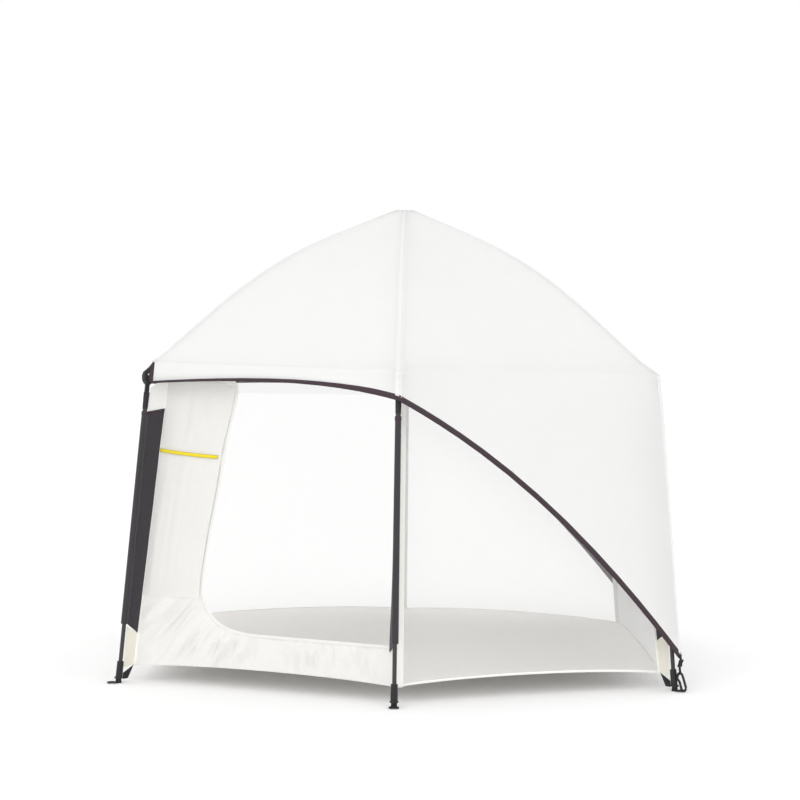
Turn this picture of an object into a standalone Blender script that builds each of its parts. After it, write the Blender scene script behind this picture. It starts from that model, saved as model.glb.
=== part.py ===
"""Six-legged screen house: bent roof ribs on a central hub, telescoping legs, fly, mesh walls and floor.

Metres, +Z up. The origin is the centre of the ground under the hub. Each corner is modelled in its own
frame, with X pointing radially outwards, Y along the side and Z up, and turned to its place by an empty.
"""

import math

import bmesh
import bpy
from mathutils import Matrix, Vector

# ---------------------------------------------------------------- driving dimensions
CORNERS = {
    "front": 0.0,
    "right_front": 51.0,
    "right_rear": 129.0,
    "rear": 180.0,
    "left_rear": -129.0,
    "left_front": -51.0,
}
FLY_COVERED = ("front", "right_front", "right_rear", "rear")

GAP = 0.0003

# roof rib, in a radial plane
RIB_PIVOT_R = 0.070
RIB_END_R = 1.5287
RIB_END_Z = 1.4316
RIB_SLOPE_HUB = math.radians(20.3)
RIB_SLOPE_EAVE = math.radians(38.0)
RIB_BEND_FROM = 0.135
RIB_BEND_TO = 0.80
RIB_RADIUS = 0.0095
RIB_BORE = 0.0085
RIB_STATIONS = 10
RIB_ROOT_BEYOND_PIN = 0.0095
RIB_PLUG = 0.035

PIN_RADIUS = 0.003
PIN_HOLE_RADIUS = 0.0034

# hub
HUB_RADIUS = 0.054
HUB_BELOW_PIVOT = 0.060
HUB_ABOVE_PIVOT = 0.006
EAR_FROM_R = 0.045
EAR_TO_R = 0.081
EAR_INNER_Y = 0.0102
EAR_OUTER_Y = 0.0155
EAR_HALF_HEIGHT = 0.006
EAR_DROP = 0.016

# eave hub and leg hinge
LEG_PIVOT_R = 1.516
LEG_PIVOT_Z = 1.3958
LEG_SPLAY = math.radians(5.55)
EAVE_HALF_WIDTH = 0.0120
EAVE_SLOT_HALF_WIDTH = 0.0056
EAVE_SOCKET_RADIUS = 0.0132
EAVE_SOCKET_LENGTH = 0.042
EAVE_SOCKET_LIP = 0.004
EAVE_BORE_DEPTH = 0.10
EAVE_BOSS_RADIUS = 0.0075
EAVE_SLOT_FLOOR = 0.060
EAVE_SLOT_REACH = 0.070
EAVE_FOLDED_RISE = math.radians(28.5)
TONGUE_HALF_WIDTH = 0.0052
TONGUE_RADIUS = 0.010
TONGUE_LENGTH = 0.056

# leg, measured down from its hinge pin
CUP_TOP = 0.052
CUP_BOTTOM = 0.130
CUP_RADIUS_TOP = 0.0140
CUP_RADIUS_BOTTOM = 0.0126
UPPER_TOP = 0.068
UPPER_BOTTOM = 0.792
UPPER_RADIUS = 0.0110
UPPER_BORE = 0.0099
LOWER_TOP = 0.632
LOWER_BOTTOM = 1.350
LOWER_RADIUS = 0.0095
LOWER_BORE = 0.0085
BUTTON_AT = 0.752
ADJUST_HOLE_AT = 1.162
BUTTON_TIP = 0.0127
BUTTON_TIP_RADIUS = 0.0027
BUTTON_HOLE_FROM = 0.004
BUTTON_HOLE_TO = 0.020
LEAF_WIDTH = 0.006
LEAF_LENGTH = 0.045
LEAF_THICKNESS = 0.001
LEAF_FROM_AXIS = 0.004

# foot
FOOT_SOCKET_RADIUS = 0.0150
FOOT_SOCKET_TOP = 0.100
FOOT_BORE_Z = 0.047
FOOT_PEG_RADIUS = 0.0135
FOOT_PEG_TOP = 0.030
FOOT_FLANGE_RADIUS = 0.0200
FOOT_FLANGE_Z = 0.022
FOOT_FLANGE_THICKNESS = 0.007
STAKE_RING_OUTER = 0.0230
STAKE_RING_INNER = 0.0135
STAKE_RING_OUT = 0.0345
STAKE_RING_Z = 0.003
STAKE_RING_THICKNESS = 0.005

# fabric
FLOOR_Z = 0.080
WALL_TOP_Z = 1.405
WALL_CORNER_R_FLOOR = 1.570
WALL_CORNER_SLOPE = 0.125
WALL_THICKNESS = 0.0008
FLOOR_THICKNESS = 0.0010
WALL_END_GAP = 0.006
FLY_THICKNESS = 0.0010
FLY_ABOVE_RIB = 0.0190
FLY_LEG_OFFSET = 0.030
FLY_EAVE_R = 1.5610
FLY_EAVE_Z = 1.4440
FLY_EAVE_SLOPE = 0.10
FLY_OPEN_END = 0.965
FLY_NOTCH = 0.014
FLY_NOTCH_DROP = 0.004
FLY_SHARES = (0.0, FLY_NOTCH, 0.045, 0.15, 0.32, 0.50, 0.68, 0.85, 0.955, 1 - FLY_NOTCH)
FLY_APEX_RISE = 0.0095
HEM_HIGH_Z = 1.332
HEM_LOW_Z = 0.211
WING_BOW = 0.50
SIDE_BOW = 0.16
VALANCE_Z = 1.397
VALANCE_BOW = 0.075
FLY_ROOF_ROWS = 9
FLY_WALL_ROWS = 5
STRAP_TOP_Z = 0.200
STRAP_BOTTOM_Z = 0.0100
STRAP_WIDTH = 0.019
STRAP_THICKNESS = 0.004
STRAP_HOOK_REACH = 0.0219
SLEEVE_TOP = 0.142
SLEEVE_BOTTOM = 1.130
SLEEVE_CORNER_RISE = 0.025
SLEEVE_CORNER_DROP = 0.040
SLEEVE_RADIUS_TOP = 0.0132
SLEEVE_RADIUS_BOTTOM = 0.0156
SLEEVE_WALL = 0.0011
WEB_THICKNESS = 0.0020
WEB_REACH_TOP = 0.102
WEB_REACH_BOTTOM = 0.071

# doorway in the front-left wall, measured along the wall from its left end and up from the floor
DOOR_LEFT_TOP = 0.455
DOOR_LEFT_BOTTOM = 0.338
DOOR_RIGHT_MARGIN = 0.030
DOOR_SILL = 0.167
DOOR_TOP_MARGIN = 0.024
DOOR_CORNER_RADIUS = 0.180
DOOR_PANEL_LEFT_BOTTOM = 0.034
DOOR_PANEL_LEFT_TOP = 0.096
DOOR_PANEL_EDGE_GAP = 0.022
DOOR_PANEL_ABOVE_SILL = 0.150
DOOR_PANEL_THICKNESS = 0.012
TIE_WIDTH = 0.017
TIE_THICKNESS = 0.0018
TIE_LEFT = 0.062
TIE_RIGHT = 0.376
TIE_LEFT_Y = 0.992
TIE_RIGHT_Y = 0.968

ROUND_SIDES = 12
SMALL_SIDES = 8

# ---------------------------------------------------------------- materials
MATERIALS = {
    "coated_steel": ((0.16, 0.155, 0.165), 0.45, 0.8),
    "black_plastic": ((0.028, 0.028, 0.030), 0.50, 0.0),
    "bright_steel": ((0.62, 0.62, 0.62), 0.28, 1.0),
    "white_fly_fabric": ((0.88, 0.88, 0.87), 0.70, 0.0),
    "mesh_fabric": ((0.80, 0.80, 0.77), 0.85, 0.0),
    "door_fabric": ((0.80, 0.79, 0.75), 0.80, 0.0),
    "floor_fabric": ((0.62, 0.60, 0.57), 0.75, 0.0),
    "sleeve_fabric": ((0.085, 0.075, 0.083), 0.85, 0.0),
    "yellow_webbing": ((0.80, 0.52, 0.03), 0.80, 0.0),
    "black_webbing": ((0.02, 0.02, 0.022), 0.85, 0.0),
}


def clear_scene():
    for item in list(bpy.data.objects):
        bpy.data.objects.remove(item, do_unlink=True)


def material(slot):
    found = bpy.data.materials.get(slot)
    if found:
        return found
    colour, roughness, metallic = MATERIALS[slot]
    made = bpy.data.materials.new(slot)
    made.use_nodes = True
    shader = made.node_tree.nodes["Principled BSDF"]
    shader.inputs["Base Color"].default_value = (*colour, 1.0)
    shader.inputs["Roughness"].default_value = roughness
    shader.inputs["Metallic"].default_value = metallic
    made.diffuse_color = (*colour, 1.0)
    return made


# ---------------------------------------------------------------- mesh helpers
def mesh_from(name, points, faces):
    """A mesh with its faces pointing out."""
    made = bpy.data.meshes.new(name)
    made.from_pydata([tuple(p) for p in points], [], faces)
    work = bmesh.new()
    work.from_mesh(made)
    bmesh.ops.recalc_face_normals(work, faces=work.faces)
    work.to_mesh(made)
    work.free()
    return made


def rings_to_mesh(name, rings, cap_start=True, cap_end=True):
    """Joins equal rings of points into a skin, with flat caps at the ends."""
    count = len(rings[0])
    points = [p for ring in rings for p in ring]
    faces = []
    for row in range(len(rings) - 1):
        for i in range(count):
            j = (i + 1) % count
            faces.append((row * count + i, row * count + j, (row + 1) * count + j, (row + 1) * count + i))
    if cap_start:
        faces.append(tuple(range(count)))
    if cap_end:
        faces.append(tuple((len(rings) - 1) * count + i for i in range(count)))
    return mesh_from(name, points, faces)


def circle(centre, across, beside, radius, sides):
    """Points of a circle about centre, in the plane of two unit vectors."""
    step = 2 * math.pi / sides
    return [
        centre + across * (radius * math.cos(i * step)) + beside * (radius * math.sin(i * step))
        for i in range(sides)
    ]


def frustum(name, start, end, radius_start, radius_end, sides=ROUND_SIDES):
    axis = (end - start).normalized()
    helper = Vector((0, 1, 0)) if abs(axis.y) < 0.9 else Vector((1, 0, 0))
    across = axis.cross(helper).normalized()
    beside = axis.cross(across)
    rings = [circle(start, across, beside, radius_start, sides), circle(end, across, beside, radius_end, sides)]
    return rings_to_mesh(name, rings)


def hollow_tube(name, start, end, outer, inner, sides=ROUND_SIDES):
    """A straight tube, open at both ends."""
    axis = (end - start).normalized()
    across = axis.cross(Vector((0, 1, 0))).normalized()
    beside = axis.cross(across)
    rings = [
        circle(start, across, beside, outer, sides),
        circle(end, across, beside, outer, sides),
        circle(end, across, beside, inner, sides),
        circle(start, across, beside, inner, sides),
    ]
    points = [p for ring in rings for p in ring]
    faces = []
    for row in range(len(rings)):
        after = (row + 1) % len(rings)
        for i in range(sides):
            j = (i + 1) % sides
            faces.append((row * sides + i, row * sides + j, after * sides + j, after * sides + i))
    return mesh_from(name, points, faces)


def plate_xz(name, outline, half_width):
    """A flat outline in the radial plane, given as (x, z) points, with its thickness along Y."""
    near = [Vector((x, -half_width, z)) for x, z in outline]
    far = [Vector((x, half_width, z)) for x, z in outline]
    return rings_to_mesh(name, [near, far])


def box(name, low, high):
    x0, y0, z0 = low
    x1, y1, z1 = high
    outline = [(x0, z0), (x1, z0), (x1, z1), (x0, z1)]
    near = [Vector((x, y0, z)) for x, z in outline]
    far = [Vector((x, y1, z)) for x, z in outline]
    return rings_to_mesh(name, [near, far])


def combined(name, base, steps):
    """The base mesh after each (operation, mesh) step, UNION or DIFFERENCE, with the helpers removed."""
    subject = bpy.data.objects.new(name + "_work", base)
    bpy.context.scene.collection.objects.link(subject)
    helpers = []
    for number, (operation, tool_mesh) in enumerate(steps):
        tool = bpy.data.objects.new(f"{name}_tool_{number}", tool_mesh)
        bpy.context.scene.collection.objects.link(tool)
        tool.hide_render = True
        tool.display_type = "WIRE"
        cut = subject.modifiers.new(f"step_{number}", "BOOLEAN")
        cut.operation = operation
        cut.object = tool
        cut.solver = "EXACT"
        helpers.append(tool)
    graph = bpy.context.evaluated_depsgraph_get()
    result = bpy.data.meshes.new_from_object(subject.evaluated_get(graph))
    result.name = name
    for helper in [subject, *helpers]:
        bpy.data.objects.remove(helper, do_unlink=True)
    return result


def moved(mesh, offset):
    mesh.transform(Matrix.Translation(offset))
    return mesh


def smooth(mesh):
    mesh.shade_smooth()
    mesh.set_sharp_from_angle(angle=math.radians(35))
    return mesh


def place(name, mesh, parent, slot):
    """A named object with its material, at its parent's origin."""
    own = mesh.copy() if mesh.users else mesh
    own.materials.clear()
    own.materials.append(material(slot))
    made = bpy.data.objects.new(name, own)
    bpy.context.scene.collection.objects.link(made)
    made.parent = parent
    return made


def empty(name, parent, location=(0, 0, 0), rotation=(0, 0, 0)):
    made = bpy.data.objects.new(name, None)
    bpy.context.scene.collection.objects.link(made)
    made.parent = parent
    made.location = location
    made.rotation_euler = rotation
    return made


# ---------------------------------------------------------------- rib line
def slope_at(share):
    """Downward slope of the rib at a share of its length: straight, bent, straight."""
    t = (share - RIB_BEND_FROM) / (RIB_BEND_TO - RIB_BEND_FROM)
    t = min(1.0, max(0.0, t))
    eased = t * t * (3 - 2 * t)
    return RIB_SLOPE_HUB + (RIB_SLOPE_EAVE - RIB_SLOPE_HUB) * eased


def rib_line():
    """Points (r, z, slope) along the rib from its pin to its outer end."""
    fine = 400
    reach = sum(math.cos(slope_at((i + 0.5) / fine)) for i in range(fine)) / fine
    length = (RIB_END_R - RIB_PIVOT_R) / reach
    step = length / fine
    rise = sum(math.sin(slope_at((i + 0.5) / fine)) for i in range(fine)) * step
    r, z = RIB_PIVOT_R, RIB_END_Z + rise
    line = [(r, z, slope_at(0.0))]
    for i in range(fine):
        angle = slope_at((i + 0.5) / fine)
        r += math.cos(angle) * step
        z -= math.sin(angle) * step
        line.append((r, z, slope_at((i + 1) / fine)))
    return line


RIB_LINE = rib_line()
RIB_PIVOT_Z = RIB_LINE[0][1]


def rib_point(share):
    return RIB_LINE[round(share * (len(RIB_LINE) - 1))]


def rib_mesh():
    """Bent tube with a closed root, its pin hole on the mesh origin."""
    shares = [i / RIB_STATIONS for i in range(RIB_STATIONS + 1)]
    stations = [rib_point(s) for s in shares]
    root_r, root_z, root_slope = stations[0]
    outward = Vector((math.cos(root_slope), 0, -math.sin(root_slope)))
    root = Vector((root_r, 0, root_z))
    beside = Vector((0, 1, 0))

    def ring(centre, slope, radius):
        across = Vector((math.sin(slope), 0, math.cos(slope)))
        return circle(centre, across, beside, radius, ROUND_SIDES)

    rings = [ring(root - outward * RIB_ROOT_BEYOND_PIN, root_slope, RIB_RADIUS)]
    rings += [ring(Vector((r, 0, z)), slope, RIB_RADIUS) for r, z, slope in stations[1:]]
    rings += [ring(Vector((r, 0, z)), slope, RIB_BORE) for r, z, slope in reversed(stations[1:])]
    rings.append(ring(root + outward * RIB_PLUG, root_slope, RIB_BORE))
    body = rings_to_mesh("rib_body", rings)
    hole = frustum(
        "rib_hole", root - beside * 0.03, root + beside * 0.03, PIN_HOLE_RADIUS, PIN_HOLE_RADIUS, SMALL_SIDES
    )
    return smooth(moved(combined("rib", body, [("DIFFERENCE", hole)]), -root))


# ---------------------------------------------------------------- hub
def hub_mesh():
    """Moulded hub with a pair of ears and a pin for each rib."""
    top = Vector((0, 0, RIB_PIVOT_Z + HUB_ABOVE_PIVOT))
    middle = Vector((0, 0, RIB_PIVOT_Z - EAR_DROP - 0.008))
    bottom = Vector((0, 0, RIB_PIVOT_Z - HUB_BELOW_PIVOT))
    across, beside = Vector((1, 0, 0)), Vector((0, 1, 0))
    rings = [
        circle(top, across, beside, HUB_RADIUS - 0.004, 24),
        circle(top - Vector((0, 0, 0.003)), across, beside, HUB_RADIUS, 24),
        circle(middle, across, beside, HUB_RADIUS, 24),
        circle(bottom + Vector((0, 0, 0.012)), across, beside, HUB_RADIUS * 0.62, 24),
        circle(bottom, across, beside, HUB_RADIUS * 0.55, 24),
    ]
    core = rings_to_mesh("hub_core", rings)
    steps = []
    for name, angle in CORNERS.items():
        turn = Matrix.Rotation(math.radians(angle - 90), 4, "Z")
        for side in (-1, 1):
            low_y = min(side * EAR_INNER_Y, side * EAR_OUTER_Y)
            high_y = max(side * EAR_INNER_Y, side * EAR_OUTER_Y)
            ear = box(
                f"ear_{name}_{side}",
                (EAR_FROM_R, low_y, RIB_PIVOT_Z - EAR_DROP),
                (EAR_TO_R, high_y, RIB_PIVOT_Z + EAR_HALF_HEIGHT - 0.0015),
            )
            ear.transform(turn)
            steps.append(("UNION", ear))
        centre = Vector((RIB_PIVOT_R, 0, RIB_PIVOT_Z))
        reach = Vector((0, EAR_OUTER_Y + 0.0015, 0))
        pin = frustum(f"pin_{name}", centre - reach, centre + reach, PIN_RADIUS, PIN_RADIUS, SMALL_SIDES)
        pin.transform(turn)
        steps.append(("UNION", pin))
    return smooth(combined("hub_body", core, steps))


# ---------------------------------------------------------------- eave hub
def eave_hub_mesh():
    """Moulded elbow: a socket for the rib, a boss, and two ears with the leg's pin."""
    end = Vector((RIB_END_R, 0, RIB_END_Z))
    outward = Vector((math.cos(RIB_SLOPE_EAVE), 0, -math.sin(RIB_SLOPE_EAVE)))
    pin_at = Vector((LEG_PIVOT_R, 0, LEG_PIVOT_Z))
    socket = frustum(
        "socket",
        end - outward * EAVE_SOCKET_LENGTH,
        end + outward * EAVE_SOCKET_LIP,
        EAVE_SOCKET_RADIUS - 0.0008,
        EAVE_SOCKET_RADIUS,
        ROUND_SIDES,
    )
    outline = [
        (end.x - 0.032, end.z + 0.0085),
        (end.x - 0.010, end.z + 0.0095),
        (end.x + 0.006, end.z + 0.0030),
        (end.x + 0.0120, end.z - 0.0060),
        (end.x + 0.0110, end.z - 0.0300),
        (pin_at.x + 0.0150, pin_at.z - 0.0100),
        (pin_at.x + 0.0080, pin_at.z - 0.0160),
        (pin_at.x - 0.0080, pin_at.z - 0.0160),
        (pin_at.x - 0.0150, pin_at.z - 0.0080),
        (pin_at.x - 0.0150, pin_at.z + 0.0080),
        (end.x - 0.030, end.z - 0.0120),
    ]
    block = plate_xz("block", outline, EAVE_HALF_WIDTH)
    bore_radius = RIB_RADIUS + GAP
    bore = frustum("bore", end - outward * EAVE_BORE_DEPTH, end + outward * 2 * GAP, bore_radius, bore_radius)
    slot = plate_xz("slot", eave_slot_outline(pin_at), EAVE_SLOT_HALF_WIDTH)
    reach = Vector((0, EAVE_HALF_WIDTH + 0.002, 0))
    pin = frustum("pin", pin_at - reach, pin_at + reach, PIN_RADIUS, PIN_RADIUS, SMALL_SIDES)
    boss_at = Vector((end.x - 0.004, 0, end.z - 0.006))
    boss = frustum("boss", boss_at - reach, boss_at + reach, EAVE_BOSS_RADIUS, EAVE_BOSS_RADIUS, SMALL_SIDES)
    steps = [("UNION", block), ("UNION", boss), ("DIFFERENCE", bore), ("DIFFERENCE", slot), ("UNION", pin)]
    rib_pin = Vector((RIB_PIVOT_R, 0, RIB_PIVOT_Z))
    return smooth(moved(combined("eave_hub", socket, steps), -rib_pin))


def eave_slot_outline(pin_at):
    """Room for the leg's tongue, from hanging down to folded in beside the rib."""
    clear = TONGUE_RADIUS + 0.0012
    x = pin_at.x + clear * math.sin(EAVE_FOLDED_RISE)
    z = pin_at.z + clear * math.cos(EAVE_FOLDED_RISE)
    run = EAVE_SLOT_REACH + x - pin_at.x
    return [
        (pin_at.x + clear, pin_at.z + 0.004),
        (pin_at.x + clear + 0.0063, pin_at.z - EAVE_SLOT_FLOOR),
        (pin_at.x - EAVE_SLOT_REACH, pin_at.z - EAVE_SLOT_FLOOR),
        (pin_at.x - EAVE_SLOT_REACH, z + run * math.tan(EAVE_FOLDED_RISE)),
        (x, z),
    ]


# ---------------------------------------------------------------- leg, in a frame with its axis along -Z
def down(distance):
    return Vector((0, 0, -distance))


def leg_bracket_mesh():
    """Tongue on the leg's pin, with a tapered cup for the upper tube."""
    arc = 8
    outline = [
        (TONGUE_RADIUS * math.cos(math.pi * i / arc), TONGUE_RADIUS * math.sin(math.pi * i / arc))
        for i in range(arc + 1)
    ]
    outline += [(-TONGUE_RADIUS, -TONGUE_LENGTH), (TONGUE_RADIUS, -TONGUE_LENGTH)]
    tongue = plate_xz("tongue", outline, TONGUE_HALF_WIDTH)
    cup = frustum("cup", down(CUP_TOP), down(CUP_BOTTOM), CUP_RADIUS_TOP, CUP_RADIUS_BOTTOM)
    bore_radius = UPPER_RADIUS + GAP
    bore = frustum("cup_bore", down(UPPER_TOP - 0.0006), down(CUP_BOTTOM + 0.05), bore_radius, bore_radius)
    beside = Vector((0, 0.03, 0))
    hole = frustum("tongue_hole", -beside, beside, PIN_HOLE_RADIUS, PIN_HOLE_RADIUS, SMALL_SIDES)
    steps = [("UNION", cup), ("DIFFERENCE", bore), ("DIFFERENCE", hole)]
    return smooth(combined("leg_bracket", tongue, steps))


def button_hole():
    """Cutter for the snap button's hole, on one side of a tube."""
    near = down(BUTTON_AT) + Vector((0, BUTTON_HOLE_FROM, 0))
    far = down(BUTTON_AT) + Vector((0, BUTTON_HOLE_TO, 0))
    return frustum("button_hole", near, far, PIN_HOLE_RADIUS, PIN_HOLE_RADIUS, SMALL_SIDES)


def upper_leg_mesh():
    tube = hollow_tube("upper_tube", down(UPPER_TOP), down(UPPER_BOTTOM), UPPER_RADIUS, UPPER_BORE)
    return smooth(combined("upper_leg", tube, [("DIFFERENCE", button_hole())]))


def lower_leg_mesh():
    tube = hollow_tube("lower_tube", down(LOWER_TOP), down(LOWER_BOTTOM), LOWER_RADIUS, LOWER_BORE)
    beside = Vector((0, 0.03, 0))
    hole_at = down(ADJUST_HOLE_AT)
    adjust = frustum("adjust_hole", hole_at - beside, hole_at + beside, PIN_RADIUS, PIN_RADIUS, SMALL_SIDES)
    steps = [("DIFFERENCE", button_hole()), ("DIFFERENCE", adjust)]
    return smooth(combined("lower_leg", tube, steps))


def button_mesh():
    """Snap button: a pin on a leaf spring inside the lower tube."""
    root = down(BUTTON_AT) + Vector((0, LEAF_FROM_AXIS + LEAF_THICKNESS / 2, 0))
    tip = down(BUTTON_AT) + Vector((0, BUTTON_TIP, 0))
    pin = frustum("button_pin", root, tip, PIN_RADIUS, BUTTON_TIP_RADIUS, SMALL_SIDES)
    leaf = box(
        "leaf",
        (-LEAF_WIDTH / 2, LEAF_FROM_AXIS, -BUTTON_AT - LEAF_WIDTH),
        (LEAF_WIDTH / 2, LEAF_FROM_AXIS + LEAF_THICKNESS, -BUTTON_AT + LEAF_LENGTH),
    )
    return smooth(combined("button", pin, [("UNION", leaf)]))


def foot_mesh():
    """Foot in the leg's frame: the peg stands upright, the socket follows the tilted leg."""
    to_leg = Matrix.Rotation(LEG_SPLAY, 4, "Y") @ Matrix.Translation((-LEG_PIVOT_R, 0, -LEG_PIVOT_Z))
    centre_r = leg_r(0.0)
    socket_low = Vector((leg_r(FOOT_FLANGE_Z), 0, FOOT_FLANGE_Z))
    socket_high = Vector((leg_r(FOOT_SOCKET_TOP), 0, FOOT_SOCKET_TOP))
    bore_low = Vector((leg_r(FOOT_BORE_Z), 0, FOOT_BORE_Z))
    bore_high = Vector((leg_r(2 * FOOT_SOCKET_TOP), 0, 2 * FOOT_SOCKET_TOP))
    peg_top = Vector((centre_r, 0, FOOT_PEG_TOP))
    peg = frustum("peg", Vector((centre_r, 0, 0)), peg_top, FOOT_PEG_RADIUS, FOOT_PEG_RADIUS)
    flange = frustum(
        "flange",
        Vector((centre_r, 0, FOOT_FLANGE_Z)),
        Vector((centre_r, 0, FOOT_FLANGE_Z + FOOT_FLANGE_THICKNESS)),
        FOOT_FLANGE_RADIUS,
        FOOT_FLANGE_RADIUS - 0.002,
    )
    socket = frustum("foot_socket", socket_low, socket_high, FOOT_SOCKET_RADIUS + 0.001, FOOT_SOCKET_RADIUS)
    bore = frustum("foot_bore", bore_low, bore_high, LOWER_RADIUS + GAP, LOWER_RADIUS + GAP)
    ring_low = Vector((centre_r + STAKE_RING_OUT, 0, STAKE_RING_Z))
    ring_high = ring_low + Vector((0, 0, STAKE_RING_THICKNESS))
    ring = frustum("stake_ring", ring_low, ring_high, STAKE_RING_OUTER, STAKE_RING_OUTER)
    ring_hole = frustum(
        "stake_hole",
        ring_low - Vector((0, 0, 0.02)),
        ring_high + Vector((0, 0, 0.02)),
        STAKE_RING_INNER,
        STAKE_RING_INNER,
    )
    steps = [
        ("UNION", ring),
        ("DIFFERENCE", ring_hole),
        ("UNION", peg),
        ("UNION", flange),
        ("UNION", socket),
        ("DIFFERENCE", bore),
    ]
    start = frustum(
        "ring_neck",
        Vector((centre_r, 0, STAKE_RING_Z)),
        Vector((centre_r, 0, STAKE_RING_Z + STAKE_RING_THICKNESS)),
        FOOT_PEG_RADIUS + 0.001,
        FOOT_PEG_RADIUS + 0.001,
    )
    mesh = combined("foot", start, steps)
    mesh.transform(to_leg)
    return smooth(mesh)


def leg_r(z):
    """Radius of the leg's axis at a height."""
    return LEG_PIVOT_R + (LEG_PIVOT_Z - z) * math.tan(LEG_SPLAY)


def sleeve_mesh():
    """Fabric sleeve round the upper tube, with a flat web towards the walls' corner."""
    outer = frustum("sleeve_outer", down(SLEEVE_TOP), down(SLEEVE_BOTTOM), SLEEVE_RADIUS_TOP, SLEEVE_RADIUS_BOTTOM)
    inner = frustum(
        "sleeve_inner",
        down(SLEEVE_TOP - 0.02),
        down(SLEEVE_BOTTOM + 0.02),
        SLEEVE_RADIUS_TOP - SLEEVE_WALL,
        SLEEVE_RADIUS_BOTTOM - SLEEVE_WALL,
    )
    web = plate_xz(
        "web",
        [
            (-SLEEVE_RADIUS_TOP + 0.0008, -SLEEVE_TOP),
            (-WEB_REACH_TOP, -SLEEVE_TOP + SLEEVE_CORNER_RISE),
            (-WEB_REACH_BOTTOM, -SLEEVE_BOTTOM - SLEEVE_CORNER_DROP),
            (-SLEEVE_RADIUS_BOTTOM + 0.0008, -SLEEVE_BOTTOM),
        ],
        WEB_THICKNESS / 2,
    )
    return smooth(combined("sleeve", outer, [("UNION", web), ("DIFFERENCE", inner)]))


# ---------------------------------------------------------------- fabric
def direction(angle):
    """Unit vector from the centre to a corner."""
    a = math.radians(angle)
    return Vector((math.sin(a), -math.cos(a), 0))


def wall_corner_r(z):
    return WALL_CORNER_R_FLOOR + (FLOOR_Z - z) * WALL_CORNER_SLOPE


def wall_frame(start, end):
    """Matrix of a wall's plane, seen from outside: X to its right, Y up, Z out, and its three lengths."""
    a, b = direction(CORNERS[start]), direction(CORNERS[end])
    low_left = a * wall_corner_r(FLOOR_Z) + Vector((0, 0, FLOOR_Z))
    low_right = b * wall_corner_r(FLOOR_Z) + Vector((0, 0, FLOOR_Z))
    high_left = a * wall_corner_r(WALL_TOP_Z) + Vector((0, 0, WALL_TOP_Z))
    high_right = b * wall_corner_r(WALL_TOP_Z) + Vector((0, 0, WALL_TOP_Z))
    along = (low_right - low_left).normalized()
    up = ((high_left + high_right) / 2 - (low_left + low_right) / 2).normalized()
    out = along.cross(up).normalized()
    matrix = Matrix((along, up, out)).transposed().to_4x4()
    matrix.translation = low_left
    return matrix, (low_right - low_left).length, (high_left - low_left).dot(up), (high_left - low_left).dot(along)


def flat_solid(name, outline, holes, thickness, matrix, slot):
    """A plate from a 2-D curve with holes, its thickness shared about the plane."""
    curve = bpy.data.curves.new(name, "CURVE")
    curve.dimensions = "2D"
    curve.fill_mode = "BOTH"
    curve.extrude = thickness / 2
    for loop in [outline, *holes]:
        spline = curve.splines.new("POLY")
        spline.points.add(len(loop) - 1)
        for point, (x, y) in zip(spline.points, loop):
            point.co = (x, y, 0, 1)
        spline.use_cyclic_u = True
    curve.materials.append(material(slot))
    made = bpy.data.objects.new(name, curve)
    bpy.context.scene.collection.objects.link(made)
    made.matrix_world = matrix
    return made


def arc_points(cx, cy, radius, start_deg, end_deg, count):
    return [
        (
            cx + radius * math.cos(math.radians(start_deg + (end_deg - start_deg) * i / count)),
            cy + radius * math.sin(math.radians(start_deg + (end_deg - start_deg) * i / count)),
        )
        for i in range(count + 1)
    ]


def door_loop(width, height, inset):
    """The doorway: straight at the front leg, curved at the lower far corner."""
    top = height - DOOR_TOP_MARGIN
    right = width - DOOR_RIGHT_MARGIN
    low_right = (right - inset * DOOR_SILL / height, DOOR_SILL)
    high_right = (right - inset * top / height, top)
    loop = [low_right, high_right, (DOOR_LEFT_TOP, top)]
    loop += [(DOOR_LEFT_BOTTOM, DOOR_SILL + DOOR_CORNER_RADIUS)]
    corner = arc_points(
        DOOR_LEFT_BOTTOM + DOOR_CORNER_RADIUS, DOOR_SILL + DOOR_CORNER_RADIUS, DOOR_CORNER_RADIUS, 180, 270, 8
    )
    return loop + corner[1:]


def make_wall(name, start, end, slot, with_door=False):
    matrix, width, height, inset = wall_frame(start, end)
    outline = [
        (WALL_END_GAP, 0),
        (width - WALL_END_GAP, 0),
        (width - inset - WALL_END_GAP, height),
        (inset + WALL_END_GAP, height),
    ]
    holes = [door_loop(width, height, inset)] if with_door else []
    return flat_solid(name, outline, holes, WALL_THICKNESS, matrix, slot)


def make_door_panel():
    """The door's cloth, folded back against the wall beside the doorway."""
    matrix, _, height, _ = wall_frame("left_front", "front")
    offset = WALL_THICKNESS / 2 + GAP + DOOR_PANEL_THICKNESS / 2
    placed = matrix @ Matrix.Translation((0, 0, offset))
    top = height - DOOR_TOP_MARGIN
    bottom = DOOR_SILL + DOOR_PANEL_ABOVE_SILL
    outline = [
        (DOOR_PANEL_LEFT_BOTTOM, bottom),
        (DOOR_LEFT_BOTTOM - DOOR_PANEL_EDGE_GAP, bottom),
        (DOOR_LEFT_TOP - DOOR_PANEL_EDGE_GAP, top - 0.05),
        (DOOR_LEFT_TOP - DOOR_PANEL_EDGE_GAP, top),
        (DOOR_PANEL_LEFT_TOP, top),
    ]
    return flat_solid("door_panel", outline, [], DOOR_PANEL_THICKNESS, placed, "door_fabric")


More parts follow.
